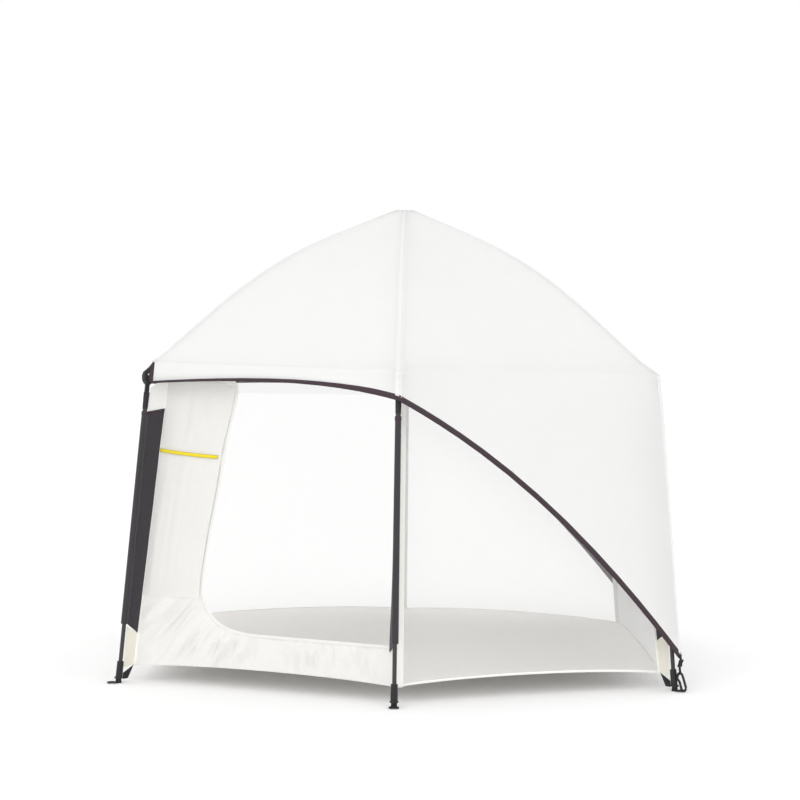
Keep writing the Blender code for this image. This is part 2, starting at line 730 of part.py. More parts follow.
def make_door_tie():
    """Webbing that holds the folded door cloth."""
    matrix, _, _, _ = wall_frame("left_front", "front")
    offset = WALL_THICKNESS / 2 + DOOR_PANEL_THICKNESS + 2 * GAP + TIE_THICKNESS / 2
    placed = matrix @ Matrix.Translation((0, 0, offset))
    outline = [
        (TIE_LEFT, TIE_LEFT_Y),
        (TIE_RIGHT, TIE_RIGHT_Y),
        (TIE_RIGHT, TIE_RIGHT_Y + TIE_WIDTH),
        (TIE_LEFT, TIE_LEFT_Y + TIE_WIDTH),
    ]
    return flat_solid("door_tie", outline, [], TIE_THICKNESS, placed, "yellow_webbing")


def make_floor():
    radius = wall_corner_r(FLOOR_Z) - 0.012
    outline = [tuple((direction(angle) * radius)[:2]) for angle in CORNERS.values()]
    matrix = Matrix.Translation((0, 0, FLOOR_Z + FLOOR_THICKNESS))
    return flat_solid("floor", outline, [], FLOOR_THICKNESS, matrix, "floor_fabric")


def fly_corner_profile(name):
    """Roof points (r, z) of the fly at a corner, from near the apex to the eave."""
    covered = name in FLY_COVERED
    root_r, root_z, root_slope = rib_point(0.0)
    points = []
    for row in range(1, FLY_ROOF_ROWS + 1):
        if row == 1:
            r = root_r * 0.45
            z = root_z + FLY_ABOVE_RIB * math.cos(root_slope) + (root_r - r) * math.tan(root_slope)
            points.append((r, z))
            continue
        along = (row - 1) / (FLY_ROOF_ROWS - 1)
        along *= 1.0 if covered else FLY_OPEN_END
        r, z, slope = rib_point(along)
        points.append((r + FLY_ABOVE_RIB * math.sin(slope), z + FLY_ABOVE_RIB * math.cos(slope)))
    return points


def fly_eave_point(name):
    """Corner of the fly just below the roof's edge."""
    if name in FLY_COVERED:
        return FLY_EAVE_R, FLY_EAVE_Z
    r, z = fly_corner_profile(name)[-1]
    return r + 0.0010, z - 0.0012


def fly_wall_r(name, z):
    """Radius of the fly's corner line below the eave."""
    if name in FLY_COVERED:
        return max(leg_r(z) + FLY_LEG_OFFSET, FLY_EAVE_R - (FLY_EAVE_Z - z) * FLY_EAVE_SLOPE)
    return fly_eave_point(name)[0] + (1.478 - z) * 0.05


def fly_edge_z(start, end, u):
    """Height of the fly's lower edge between two corners."""
    bulge = u * (1 - u)
    wing = HEM_HIGH_Z - (HEM_HIGH_Z - HEM_LOW_Z) * u + WING_BOW * bulge
    wing_back = HEM_LOW_Z + (HEM_HIGH_Z - HEM_LOW_Z) * u + WING_BOW * bulge
    valance_drop = VALANCE_Z - HEM_HIGH_Z
    edges = {
        ("front", "right_front"): wing,
        ("right_front", "right_rear"): HEM_LOW_Z + SIDE_BOW * bulge,
        ("right_rear", "rear"): wing_back,
        ("rear", "left_rear"): VALANCE_Z + VALANCE_BOW * bulge - valance_drop * (1 - u) ** 4,
        ("left_rear", "left_front"): VALANCE_Z,
        ("left_front", "front"): VALANCE_Z + VALANCE_BOW * bulge - valance_drop * u**4,
    }
    return edges[(start, end)]


def fly_column(start, end, u):
    """Points of the fly from near the apex to its lower edge, at a share u between two corners."""
    a, b = direction(CORNERS[start]), direction(CORNERS[end])
    column = []
    for (ra, za), (rb, zb) in zip(fly_corner_profile(start), fly_corner_profile(end)):
        p = a * ra + Vector((0, 0, za))
        q = b * rb + Vector((0, 0, zb))
        column.append(p.lerp(q, u))
    (ra, za), (rb, zb) = fly_eave_point(start), fly_eave_point(end)
    eave_z = za + (zb - za) * u
    edge_z = fly_edge_z(start, end, u)
    at_start = u <= FLY_NOTCH and start not in FLY_COVERED
    at_end = u >= 1 - FLY_NOTCH and end not in FLY_COVERED
    if at_start or at_end:
        edge_z = eave_z - FLY_NOTCH_DROP
    for row in range(FLY_WALL_ROWS + 1):
        z = eave_z + (edge_z - eave_z) * row / FLY_WALL_ROWS
        if row == 0:
            point = (a * ra).lerp(b * rb, u)
        else:
            point = (a * fly_wall_r(start, z)).lerp(b * fly_wall_r(end, z), u)
        column.append(Vector((point.x, point.y, z)))
    return column


def make_fly():
    """The fly as one closed skin: six roof panels, two wings, a side wall and a valance."""
    names = list(CORNERS)
    columns = []
    for i, start in enumerate(names):
        end = names[(i + 1) % len(names)]
        columns += [fly_column(start, end, u) for u in FLY_SHARES]
    rows = len(columns[0])
    count = len(columns)
    apex_z = columns[0][0].z + FLY_APEX_RISE
    points = [Vector((0, 0, apex_z))] + [p for column in columns for p in column]
    faces = []
    for c in range(count):
        n = (c + 1) % count
        faces.append((0, 1 + c * rows, 1 + n * rows))
        for row in range(rows - 1):
            faces.append((1 + c * rows + row, 1 + c * rows + row + 1, 1 + n * rows + row + 1, 1 + n * rows + row))
    mesh = bpy.data.meshes.new("fly")
    mesh.from_pydata([tuple(p) for p in points], [], faces)
    work = bmesh.new()
    work.from_mesh(mesh)
    bmesh.ops.recalc_face_normals(work, faces=work.faces)
    work.normal_update()
    if sum(f.normal.z for f in work.faces) < 0:
        bmesh.ops.reverse_faces(work, faces=work.faces)
    work.to_mesh(mesh)
    work.free()
    mesh.materials.append(material("white_fly_fabric"))
    fly = bpy.data.objects.new("fly", mesh)
    bpy.context.scene.collection.objects.link(fly)
    skin = fly.modifiers.new("skin", "SOLIDIFY")
    skin.thickness = FLY_THICKNESS
    skin.offset = 0.0
    return fly


def make_fly_strap():
    """Webbing and hook from the fly's right front corner to the foot's ring, in that corner's frame."""
    corner = empty("fly_strap_corner", None, rotation=(0, 0, math.radians(CORNERS["right_front"] - 90)))
    top = leg_r(STRAP_TOP_Z) + FLY_LEG_OFFSET + 0.004
    ring = leg_r(0.0) + STAKE_RING_OUT
    outline = [
        (top, STRAP_TOP_Z),
        (top + STRAP_THICKNESS, STRAP_TOP_Z),
        (ring + 0.0034, 0.100),
        (ring + 0.0054, 0.040),
        (ring + STRAP_HOOK_REACH, 0.0160),
        (ring + STRAP_HOOK_REACH, STRAP_BOTTOM_Z),
        (ring, STRAP_BOTTOM_Z),
        (ring, 0.0140),
        (ring + 0.0019, 0.040),
        (ring - 0.0006, 0.100),
    ]
    return place("fly_strap", plate_xz("fly_strap", outline, STRAP_WIDTH / 2), corner, "black_webbing")


# ---------------------------------------------------------------- assembly
def build():
    clear_scene()
    place("hub_body", hub_mesh(), None, "black_plastic")
    meshes = {
        "rib": rib_mesh(),
        "eave_hub": eave_hub_mesh(),
        "leg_bracket": leg_bracket_mesh(),
        "upper_leg": upper_leg_mesh(),
        "lower_leg": lower_leg_mesh(),
        "foot": foot_mesh(),
        "button": button_mesh(),
        "sleeve": sleeve_mesh(),
    }
    slots = {
        "rib": "coated_steel",
        "eave_hub": "black_plastic",
        "leg_bracket": "black_plastic",
        "upper_leg": "coated_steel",
        "lower_leg": "coated_steel",
        "foot": "black_plastic",
        "button": "bright_steel",
        "sleeve": "sleeve_fabric",
    }
    on_rib = ("rib", "eave_hub")
    for corner, angle in CORNERS.items():
        turn = empty(f"corner_{corner}", None, rotation=(0, 0, math.radians(angle - 90)))
        rib_pin = empty(f"rib_pin_{corner}", turn, (RIB_PIVOT_R, 0, RIB_PIVOT_Z))
        leg_pin = empty(f"leg_pin_{corner}", turn, (LEG_PIVOT_R, 0, LEG_PIVOT_Z), (0, -LEG_SPLAY, 0))
        for piece, mesh in meshes.items():
            parent = rib_pin if piece in on_rib else leg_pin
            place(f"{piece}_{corner}", mesh, parent, slots[piece])
    make_fly()
    make_fly_strap()
    make_wall("wall_front_left", "left_front", "front", "mesh_fabric", with_door=True)
    make_wall("wall_front_right", "front", "right_front", "mesh_fabric")
    make_wall("wall_right", "right_front", "right_rear", "mesh_fabric")
    make_wall("wall_rear_right", "right_rear", "rear", "mesh_fabric")
    make_wall("wall_rear_left", "rear", "left_rear", "mesh_fabric")
    make_wall("wall_left", "left_rear", "left_front", "mesh_fabric")
    make_floor()
    make_door_panel()
    make_door_tie()


build()
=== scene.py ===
"""Looks of the hexagonal screen house: fabric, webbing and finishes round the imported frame."""
import math

import bmesh
import bpy
from mathutils import Matrix, Vector, noise


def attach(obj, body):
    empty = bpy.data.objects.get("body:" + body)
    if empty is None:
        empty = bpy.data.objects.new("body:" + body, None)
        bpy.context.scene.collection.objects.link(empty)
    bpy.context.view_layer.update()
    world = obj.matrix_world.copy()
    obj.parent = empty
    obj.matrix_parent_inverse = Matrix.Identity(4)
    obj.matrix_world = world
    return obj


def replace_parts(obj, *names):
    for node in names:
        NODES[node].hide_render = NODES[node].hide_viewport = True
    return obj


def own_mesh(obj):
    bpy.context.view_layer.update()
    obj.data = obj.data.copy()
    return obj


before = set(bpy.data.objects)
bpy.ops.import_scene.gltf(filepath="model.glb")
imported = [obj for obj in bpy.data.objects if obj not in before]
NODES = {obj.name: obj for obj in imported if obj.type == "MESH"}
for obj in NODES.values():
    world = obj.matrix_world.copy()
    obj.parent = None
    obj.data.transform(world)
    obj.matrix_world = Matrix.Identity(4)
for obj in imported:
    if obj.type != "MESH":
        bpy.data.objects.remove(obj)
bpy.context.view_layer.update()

# corner angles about +Z from -Y, in order round the shelter
CORNERS = {
    "front": 0.0,
    "right_front": 51.0,
    "right_rear": 129.0,
    "rear": 180.0,
    "left_rear": -129.0,
    "left_front": -51.0,
}
ORDER = list(CORNERS)
# corners where the fly goes on down past the eave
COVERED = ("front", "right_front", "right_rear", "rear")

# frame sizes as in the CAD model: metres, with points as (distance from the axis, height)
RIB_PIVOT_R = 0.07
RIB_END = (1.5287, 1.4316)
RIB_SLOPES = (math.radians(20.3), math.radians(38.0))
RIB_BEND = (0.135, 0.8)
LEG_PIVOT = (1.516, 1.3958)
LEG_SPLAY = math.radians(5.55)
FLOOR_Z = 0.08
WALL_FLOOR_R = 1.57
WALL_SLOPE = 0.125


# ---- frame geometry
def direction(corner):
    """Outwards from the axis through a corner."""
    a = math.radians(CORNERS[corner])
    return Vector((math.sin(a), -math.cos(a), 0))


def tangent(corner):
    """Level and square to a corner's direction, towards the next corner."""
    a = math.radians(CORNERS[corner])
    return Vector((math.cos(a), math.sin(a), 0))


def following(corner):
    return ORDER[(ORDER.index(corner) + 1) % len(ORDER)]


def preceding(corner):
    return ORDER[ORDER.index(corner) - 1]


def polar(corner, r, z, beside=0.0):
    return direction(corner) * r + tangent(corner) * beside + Vector((0, 0, z))


def eased(t):
    t = min(1.0, max(0.0, t))
    return t * t * (3 - 2 * t)


def mixed(a, b, t):
    return a + (b - a) * t


def arch(t):
    """Rises from 0 to 1 at the middle of a share, and falls to 0 again."""
    return math.sin(math.pi * t)


def shares(count):
    """Even shares from 0 to 1."""
    return [i / count for i in range(count + 1)]


def leg_r(z):
    return LEG_PIVOT[0] + (LEG_PIVOT[1] - z) * math.tan(LEG_SPLAY)


def wall_r(z):
    return WALL_FLOOR_R + (FLOOR_Z - z) * WALL_SLOPE


def between(start, u, at_start, at_end):
    """A point at a share u between a corner and the next, from (r, z) at each."""
    level = (direction(start) * at_start[0]).lerp(direction(following(start)) * at_end[0], u)
    return level + Vector((0, 0, mixed(at_start[1], at_end[1], u)))


def outward(start):
    """Level and square to the side between a corner and the next."""
    return (direction(start) + direction(following(start))).normalized()


def down_leg(corner, distance, inward=0.0, beside=0.0):
    """A point at a distance down the leg from its hinge, and towards the centre from its axis."""
    r = LEG_PIVOT[0] + distance * math.sin(LEG_SPLAY) - inward * math.cos(LEG_SPLAY)
    z = LEG_PIVOT[1] - distance * math.cos(LEG_SPLAY) - inward * math.sin(LEG_SPLAY)
    return polar(corner, r, z, beside)


def rib_line(fine=400):
    """Points (r, z, slope) along the rib's axis from its pin to its end."""
    bend_from, bend_to = RIB_BEND
    turns = [eased(((i + 0.5) / fine - bend_from) / (bend_to - bend_from)) for i in range(fine)]
    slopes = [mixed(*RIB_SLOPES, turn) for turn in turns]
    length = (RIB_END[0] - RIB_PIVOT_R) / (sum(math.cos(s) for s in slopes) / fine)
    step = length / fine
    r, z = RIB_PIVOT_R, RIB_END[1] + sum(math.sin(s) for s in slopes) * step
    line = [(r, z, slopes[0])]
    for slope in slopes:
        r += math.cos(slope) * step
        z -= math.sin(slope) * step
        line.append((r, z, slope))
    return line


RIB_LINE = rib_line()


def rib_point(share):
    """The rib's (r, z, slope) at a share of its length."""
    at = share * (len(RIB_LINE) - 1)
    low = min(int(at), len(RIB_LINE) - 2)
    return tuple(mixed(p, q, at - low) for p, q in zip(RIB_LINE[low], RIB_LINE[low + 1]))


# ---- materials
def new_material(name, colour, roughness, metallic=0.0, alpha=1.0, sheen=0.0, specular=0.3):
    made = bpy.data.materials.new(name)
    made.use_nodes = True
    made.diffuse_color = (*colour, 1.0)
    values = {
        "Base Color": (*colour, 1.0),
        "Roughness": roughness,
        "Metallic": metallic,
        "Alpha": alpha,
        "Sheen Weight": sheen,
        "Sheen Roughness": 0.5,
        "Specular IOR Level": specular,
    }
    for key, value in values.items():
        made.node_tree.nodes["Principled BSDF"].inputs[key].default_value = value
    return made


def node(made, kind, inputs=None, **settings):
    """A new node, with its inputs set to values or linked to sockets."""
    new = made.node_tree.nodes.new(kind)
    for key, value in settings.items():
        setattr(new, key, value)
    for key, value in (inputs or {}).items():
        if isinstance(value, bpy.types.NodeSocket):
            made.node_tree.links.new(value, new.inputs[key])
        else:
            new.inputs[key].default_value = value
    return new


def wire(made, socket, name):
    """Links a socket to an input of the material's surface."""
    made.node_tree.links.new(socket, made.node_tree.nodes["Principled BSDF"].inputs[name])


def maths(made, operation, *values):
    return node(made, "ShaderNodeMath", dict(enumerate(values)), operation=operation).outputs[0]


def cloud(made, vector, scale, detail, roughness=0.5):
    """Soft noise between 0 and 1."""
    inputs = {"Vector": vector, "Scale": scale, "Detail": detail, "Roughness": roughness}
    return node(made, "ShaderNodeTexNoise", inputs).outputs["Fac"]


def ranged(made, value, low, high, **more):
    """A value from 0 to 1 brought to the range low to high."""
    inputs = {"Value": value, "To Min": low, "To Max": high, **more}
    return node(made, "ShaderNodeMapRange", inputs).outputs["Result"]


def tinted(made, colour, amount, factor):
    """Base colour that varies about colour by amount, driven by factor."""
    dark = [c * (1 - amount) for c in colour]
    light = [min(1.0, c * (1 + amount)) for c in colour]
    inputs = {"A": (*dark, 1.0), "B": (*light, 1.0), "Factor": factor}
    return node(made, "ShaderNodeMix", inputs, data_type="RGBA").outputs["Result"]


def threads(made, vector, pitch):
    """Crossed threads of a plain weave, 0 between them and 1 on their crowns."""
    inputs = {"Vector": vector, "Scale": math.pi / 10 / pitch}
    inputs.update({"Distortion": 0.6, "Detail": 1.0, "Detail Scale": 0.6})
    kind = "ShaderNodeTexWave"
    ways = [node(made, kind, inputs, bands_direction=way).outputs["Fac"] for way in ("X", "Y")]
    return maths(made, "MAXIMUM", *ways)


def cloth(
    name, colour, roughness=0.8, pitch=0.0009, relief=0.0001, spread=0.03, crease=0.0015, through=0.0, **more
):
    """Woven cloth: threads, soft creases, slight colour variation, and a share of light let through."""
    made = new_material(name, colour, roughness, **more)
    where = node(made, "ShaderNodeTexCoord")
    uv, place = where.outputs["UV"], where.outputs["Object"]
    weave = threads(made, uv, pitch)
    broad = cloud(made, place, 2.6, 4.0, 0.55)
    shade = maths(made, "MULTIPLY_ADD", cloud(made, uv, 260.0, 2.0), 0.35, broad)
    colours = tinted(made, colour, spread, maths(made, "SUBTRACT", shade, 0.17))
    wire(made, colours, "Base Color")
    wire(made, ranged(made, weave, min(1.0, roughness + 0.06), roughness - 0.06), "Roughness")
    folds = {"Height": cloud(made, place, 7.0, 5.0, 0.6), "Distance": crease * 6, "Strength": 0.35}
    folded = node(made, "ShaderNodeBump", folds).outputs["Normal"]
    woven = {"Height": weave, "Distance": relief, "Strength": 0.5, "Normal": folded}
    wire(made, node(made, "ShaderNodeBump", woven).outputs["Normal"], "Normal")
    if through:
        nodes = made.node_tree.nodes
        glow = node(made, "ShaderNodeBsdfTranslucent", {"Color": colours, "Normal": folded})
        parts = {0: through, 1: nodes["Principled BSDF"].outputs[0], 2: glow.outputs[0]}
        both = node(made, "ShaderNodeMixShader", parts)
        made.node_tree.links.new(both.outputs[0], nodes["Material Output"].inputs["Surface"])
    return made


def stitched(made, *rows, pitch=0.004, length=0.65, width=0.0011):
    """Adds rows of stitches to a strip's material, each along the strip at a distance across it."""
    inputs = made.node_tree.nodes["Principled BSDF"].inputs
    where = node(made, "ShaderNodeTexCoord")
    split = node(made, "ShaderNodeSeparateXYZ", {"Vector": where.outputs["UV"]})
    beat = maths(made, "FRACT", maths(made, "DIVIDE", split.outputs["X"], pitch))
    on = maths(made, "LESS_THAN", beat, length)
    total = None
    for row in rows:
        gap = maths(made, "ABSOLUTE", maths(made, "SUBTRACT", split.outputs["Y"], row))
        line = maths(made, "MULTIPLY", maths(made, "LESS_THAN", gap, width), on)
        total = line if total is None else maths(made, "MAXIMUM", total, line)
    dimming = {
        "A": inputs["Base Color"].links[0].from_socket,
        "B": (0.62, 0.62, 0.62, 1.0),
        "Factor": maths(made, "MULTIPLY", total, 0.5),
    }
    dimmed = node(made, "ShaderNodeMix", dimming, data_type="RGBA", blend_type="MULTIPLY")
    wire(made, dimmed.outputs["Result"], "Base Color")
    before = inputs["Normal"].links[0].from_socket
    sunk = {"Height": total, "Distance": 0.0006, "Strength": 0.7, "Normal": before}
    wire(made, node(made, "ShaderNodeBump", sunk, invert=True).outputs["Normal"], "Normal")
    return made


def hard(name, colour, roughness, metallic=0.0, grain=900.0, relief=0.00006, scuff=0.25):
    """Moulded or coated surface: fine grain, uneven gloss and light scuffs."""
    made = new_material(name, colour, roughness, metallic)
    place = node(made, "ShaderNodeTexCoord").outputs["Object"]
    broad = cloud(made, place, 22.0, 6.0, 0.65)
    fine = cloud(made, place, grain, 2.0)
    worn = ranged(made, broad, 0.0, scuff, **{"From Min": 0.56, "From Max": 0.72})
    shade = maths(made, "ADD", maths(made, "MULTIPLY", fine, 0.4), worn)
    wire(made, tinted(made, colour, 0.22, shade), "Base Color")
    wire(made, ranged(made, broad, roughness - 0.1, min(1.0, roughness + 0.12)), "Roughness")
    bump = {"Height": fine, "Distance": relief, "Strength": 0.6}
    wire(made, node(made, "ShaderNodeBump", bump).outputs["Normal"], "Normal")
    return made


FLY_WEAVE = {"pitch": 0.0007, "spread": 0.012, "sheen": 0.1}
MESH_WEAVE = {"roughness": 0.75, "pitch": 0.0014, "relief": 0.0003, "crease": 0.001}
TAPE_WEAVE = {"roughness": 0.78, "spread": 0.02, "crease": 0.0005}
WEBBING = {"pitch": 0.0011, "relief": 0.0003, "crease": 0.0002}
FLY = cloth("fly_cloth", (0.865, 0.865, 0.86), 0.62, relief=0.00006, crease=0.0012, through=0.3, **FLY_WEAVE)
RIDGE = cloth("ridge_tape", (0.89, 0.89, 0.885), 0.6, crease=0.0006, through=0.2, **FLY_WEAVE)
stitched(RIDGE, 0.004, 0.031)
MESH = cloth("insect_mesh", (0.71, 0.71, 0.695), alpha=0.2, **MESH_WEAVE)
SIDE_MESH = cloth("close_mesh", (0.95, 0.955, 0.955), spread=0.02, alpha=0.94, **MESH_WEAVE)
CREAM_WEAVE = {"roughness": 0.78, "spread": 0.025, "crease": 0.0022, "sheen": 0.1}
CREAM = cloth("cream_cloth", (0.87, 0.862, 0.838), through=0.28, **CREAM_WEAVE)
TAPE = stitched(cloth("cream_tape", (0.95, 0.94, 0.905), through=0.02, **TAPE_WEAVE), 0.004)
ZIP = stitched(cloth("zip_tape", (0.862, 0.854, 0.83), through=0.24, **TAPE_WEAVE), 0.002)
THIN = cloth("thin_gusset_cloth", (0.9, 0.895, 0.87), through=0.55)
GUSSET = cloth("gusset_cloth", (0.82, 0.8, 0.7), through=0.35)
GROUNDSHEET = cloth("groundsheet", (0.955, 0.935, 0.91), 0.7, 0.0008, 0.00008, 0.02, 0.004, through=0.14)
PLUM = cloth("plum_binding", (0.052, 0.035, 0.043), 0.75, pitch=0.0006, spread=0.15, crease=0.0003)
stitched(PLUM, 0.0145)
FIN = cloth("fin_cloth", (0.038, 0.033, 0.039), 0.72, 0.0007, 0.00012, spread=0.15, sheen=0.15)
YELLOW = stitched(cloth("yellow_webbing", (0.79, 0.64, 0.03), spread=0.06, **WEBBING), 0.002, 0.015)
BLACK_WEB = cloth("black_webbing", (0.022, 0.022, 0.025), 0.75, spread=0.2, **WEBBING)
stitched(BLACK_WEB, 0.002, 0.018)
STEEL = hard("coated_steel_finish", (0.06, 0.058, 0.064), 0.42, 0.35)
PLASTIC = hard("moulded_plastic", (0.02, 0.02, 0.023), 0.48, 0.0, 700.0, 0.0001)
BRIGHT = hard("bright_steel_finish", (0.62, 0.62, 0.63), 0.28, 1.0)


# ---- mesh building
def add_uv(mesh, coords):
    """Gives each face corner its vertex's flat coordinates, in metres."""
    layer = mesh.uv_layers.new(name="UVMap")
    for loop in mesh.loops:
        layer.data[loop.index].uv = coords[loop.vertex_index]


def flat_coords(rows):
    """Coordinates in metres along and across a grid of points."""
    coords = []
    middle = len(rows[0]) // 2
    height = 0.0
    for i, row in enumerate(rows):
        if i:
            height += (row[middle] - rows[i - 1][middle]).length
        run = 0.0
        for j, point in enumerate(row):
            if j:
                run += (point - row[j - 1]).length
            coords.append((run, height))
    return coords


def linked(name, data):
    """A new object in the scene with the data."""
    made = bpy.data.objects.new(name, data)
    bpy.context.scene.collection.objects.link(made)
    return made


def lines_mesh(name, lines, round_lines=False, round_points=False, end=False):
    """A mesh with faces between lines of points, and one on the first line if it is an end."""
    count, width = len(lines), len(lines[0])
    faces = []
    for i in range(count if round_lines else count - 1):
        low, high = i * width, (i + 1) % count * width
        for k in range(width if round_points else width - 1):
            n = (k + 1) % width
            faces.append((low + k, low + n, high + n, high + k))
    if end:
        faces.append(tuple(range(width)))
    mesh = bpy.data.meshes.new(name)
    mesh.from_pydata([p for line in lines for p in line], [], faces)
    return mesh


def grid(name, rows, surface, thickness=0.0):
    """A cloth piece from rows of points, with flat coordinates and smooth shading."""
    mesh = lines_mesh(name, rows)
    add_uv(mesh, flat_coords(rows))
    mesh.materials.append(surface)
    mesh.shade_smooth()
    made = linked(name, mesh)
    if thickness:
        skin = made.modifiers.new("skin", "SOLIDIFY")
        skin.thickness = thickness
        skin.offset = 0.0
        graph = bpy.context.evaluated_depsgraph_get()
        result = bpy.data.meshes.new_from_object(made.evaluated_get(graph))
        made.modifiers.clear()
        made.data = result
    return made


def welded(mesh, distance, close=None):
    """Joins a mesh's points that meet, closes the gap inside a radius, and turns its faces outwards."""
    work = bmesh.new()
    work.from_mesh(mesh)
    bmesh.ops.remove_doubles(work, verts=work.verts, dist=distance)
    if close:
        inner = [e for e in work.edges if e.is_boundary and e.verts[0].co.length < close]
        bmesh.ops.contextual_create(work, geom=inner)
    bmesh.ops.recalc_face_normals(work, faces=work.faces)
    work.to_mesh(mesh)
    work.free()


def ringed(name, rings, surface, closed):
    """A smooth solid from rings of points: round to the first ring again, or from a flat end to a point."""
    mesh = lines_mesh(name, rings, closed, True, not closed)
    mesh.materials.append(surface)
    welded(mesh, 0.00001)
    mesh.shade_smooth()
    return linked(name, mesh)


def refined(path, steps):
    """A path of vectors with even steps on each leg."""
    return [a.lerp(b, k / steps) for a, b in zip(path, path[1:]) for k in range(steps)] + [path[-1]]


def ahead_at(path, i):
    """From the point before a point of a path to the one after it."""
    return path[min(i + 1, len(path) - 1)] - path[max(i - 1, 0)]


def fold_to_corner(made, corner, body="leg_upper"):
    """The cloth moves with its corner's body, on a mesh of its own."""
    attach(made, f"{body}_{corner}")
    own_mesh(made)


# ---- fly
# the fly above the ribs and outside the legs, in metres
FLY_ABOVE = 0.019
FLY_LEG_OFFSET = 0.044
FLY_EAVE = (1.547, 1.457)
FLY_EAVE_FALL = 0.18
OPEN_EAVE_STEP = (0.001, -0.0012)
VALANCE_FLARE = 0.026
APEX_DIP = 0.01
ELBOW_RISE = 0.016
# shares of a ridge from the apex to the eave
APEX_SHARE = 0.045
ELBOW_FROM = 0.93
FLY_OPEN_END = 0.965
# the lower edge
HEM_HIGH_Z = 1.332
HEM_LOW_Z = 0.154
HEM_BULGE = 0.52
HEM_SKEW = 0.165
HEM_SIDE_BULGE = 0.16
VALANCE_Z = 1.392
VALANCE_BULGE = 0.075
# the cut at a corner that the fly leaves open: share of the sector, columns and depth
FLY_NOTCH = 0.014
NOTCH_COLUMNS = 3
NOTCH_DEPTH = 0.004
# the cloth's hollow between ridges, the groove beside a ridge, and the way a dip goes (inwards, down)
ROOF_DIP = 0.02
GROOVE_DEPTH = 0.0028
GROOVE_WIDTH = 0.012
SECTOR_WIDTH = 1.35
DIP_WAY = (0.45, 0.9)
SKIRT_HANG = 0.012
SHOULDER_SHARE = 0.62
SHOULDER_RISE = 0.001
# rows from the apex to the eave and on to the lower edge, and columns from a ridge to the middle
ROOF_ROWS = 36
SKIRT_ROWS = 18
SKIRT_SPACING = 1.7
RIDGE_SHARES = (0.0, 0.007, 0.014, 0.026, 0.05, 0.09, 0.15, 0.22, 0.3, 0.4, 0.5)
EAVE_ROW = ROOF_ROWS + 1
LAST_ROW = EAVE_ROW + SKIRT_ROWS
HALF = len(RIDGE_SHARES) - 1
SECTOR_SHARES = RIDGE_SHARES + tuple(1 - u for u in reversed(RIDGE_SHARES[:-1]))
SOFT_ROWS = 4
OPEN_SECTORS = ("rear", "left_rear", "left_front")


def fly_ridge(corner, share):
    """The fly's ridge line (r, z) at a corner, from the apex to the eave."""
    if share < APEX_SHARE:
        root_r, root_z, root_slope = rib_point(0.0)
        r = root_r * share / APEX_SHARE
        z = root_z + FLY_ABOVE * math.cos(root_slope) + (root_r - r) * math.tan(root_slope)
        beyond = FLY_ABOVE * math.sin(root_slope) * share / APEX_SHARE
        return r + beyond, z - APEX_DIP * (1 - share / APEX_SHARE) ** 2
    along = (share - APEX_SHARE) / (1 - APEX_SHARE)
    along *= 1.0 if corner in COVERED else FLY_OPEN_END
    r, z, slope = rib_point(along)
    lift = ELBOW_RISE * eased((along - ELBOW_FROM) / (1 - ELBOW_FROM))
    return r + FLY_ABOVE * math.sin(slope), z + FLY_ABOVE * math.cos(slope) + lift


def fly_eave(corner):
    """The fly's eave point (r, z) at a corner."""
    if corner in COVERED:
        return FLY_EAVE
    r, z = fly_ridge(corner, 1.0)
    return r + OPEN_EAVE_STEP[0], z + OPEN_EAVE_STEP[1]


def fly_wall_r(corner, z):
    """The fly's distance from the axis at a corner, below the eave."""
    if corner in COVERED:
        below = min(1.0, (FLY_EAVE[1] - z) / FLY_EAVE_FALL)
        return mixed(FLY_EAVE[0], leg_r(z) + FLY_LEG_OFFSET, math.sin(math.pi / 2 * below))
    eave_r, eave_z = fly_eave(corner)
    return eave_r + VALANCE_FLARE * math.sin(math.pi / 2 * min(1.0, (eave_z - z) / (eave_z - VALANCE_Z)))


def hem_z(start, u):
    """Height of the fly's lower edge at a share between a corner and the next."""
    bulge = u * (1 - u)
    fall = HEM_HIGH_Z - HEM_LOW_Z
    drop = VALANCE_Z - HEM_HIGH_Z
    return {
        "front": HEM_HIGH_Z - fall * u + (HEM_BULGE + HEM_SKEW * u) * bulge,
        "right_front": HEM_LOW_Z + HEM_SIDE_BULGE * bulge,
        "right_rear": HEM_LOW_Z + fall * u + (HEM_BULGE + HEM_SKEW * (1 - u)) * bulge,
        "rear": VALANCE_Z + VALANCE_BULGE * bulge - drop * (1 - u) ** 4,
        "left_rear": VALANCE_Z,
        "left_front": VALANCE_Z + VALANCE_BULGE * bulge - drop * u**4,
    }[start]


def fly_column(start, u):
    """The fly's points at a share u between a corner and the next, from the apex to the lower edge."""
    end = following(start)
    inward = -outward(start)
    span = 4 * u * (1 - u)
    column = []
    for share in shares(ROOF_ROWS)[1:]:
        point = between(start, u, fly_ridge(start, share), fly_ridge(end, share))
        dip = ROOF_DIP * span * arch(share) ** 0.8
        near = min(u, 1 - u) * share * SECTOR_WIDTH
        dip += GROOVE_DEPTH * math.exp(-((near / GROOVE_WIDTH) ** 2)) * min(1.0, share * 6)
        column.append(point + inward * dip * DIP_WAY[0] - Vector((0, 0, dip * DIP_WAY[1])))
    eave = between(start, u, fly_eave(start), fly_eave(end))
    shoulder = column[-1].lerp(eave, SHOULDER_SHARE) - inward * SHOULDER_RISE + Vector((0, 0, SHOULDER_RISE))
    column += [shoulder, eave]
    edge = hem_z(start, u)
    if (u <= FLY_NOTCH and start not in COVERED) or (u >= 1 - FLY_NOTCH and end not in COVERED):
        edge = eave.z - NOTCH_DEPTH
    for t in shares(SKIRT_ROWS)[1:]:
        share = t**SKIRT_SPACING
        z = mixed(eave.z, edge, share)
        point = between(start, u, (fly_wall_r(start, z), z), (fly_wall_r(end, z), z))
        hang = arch(share) * (eave.z - edge)
        column.append(point + inward * span * SKIRT_HANG * hang)
    return column


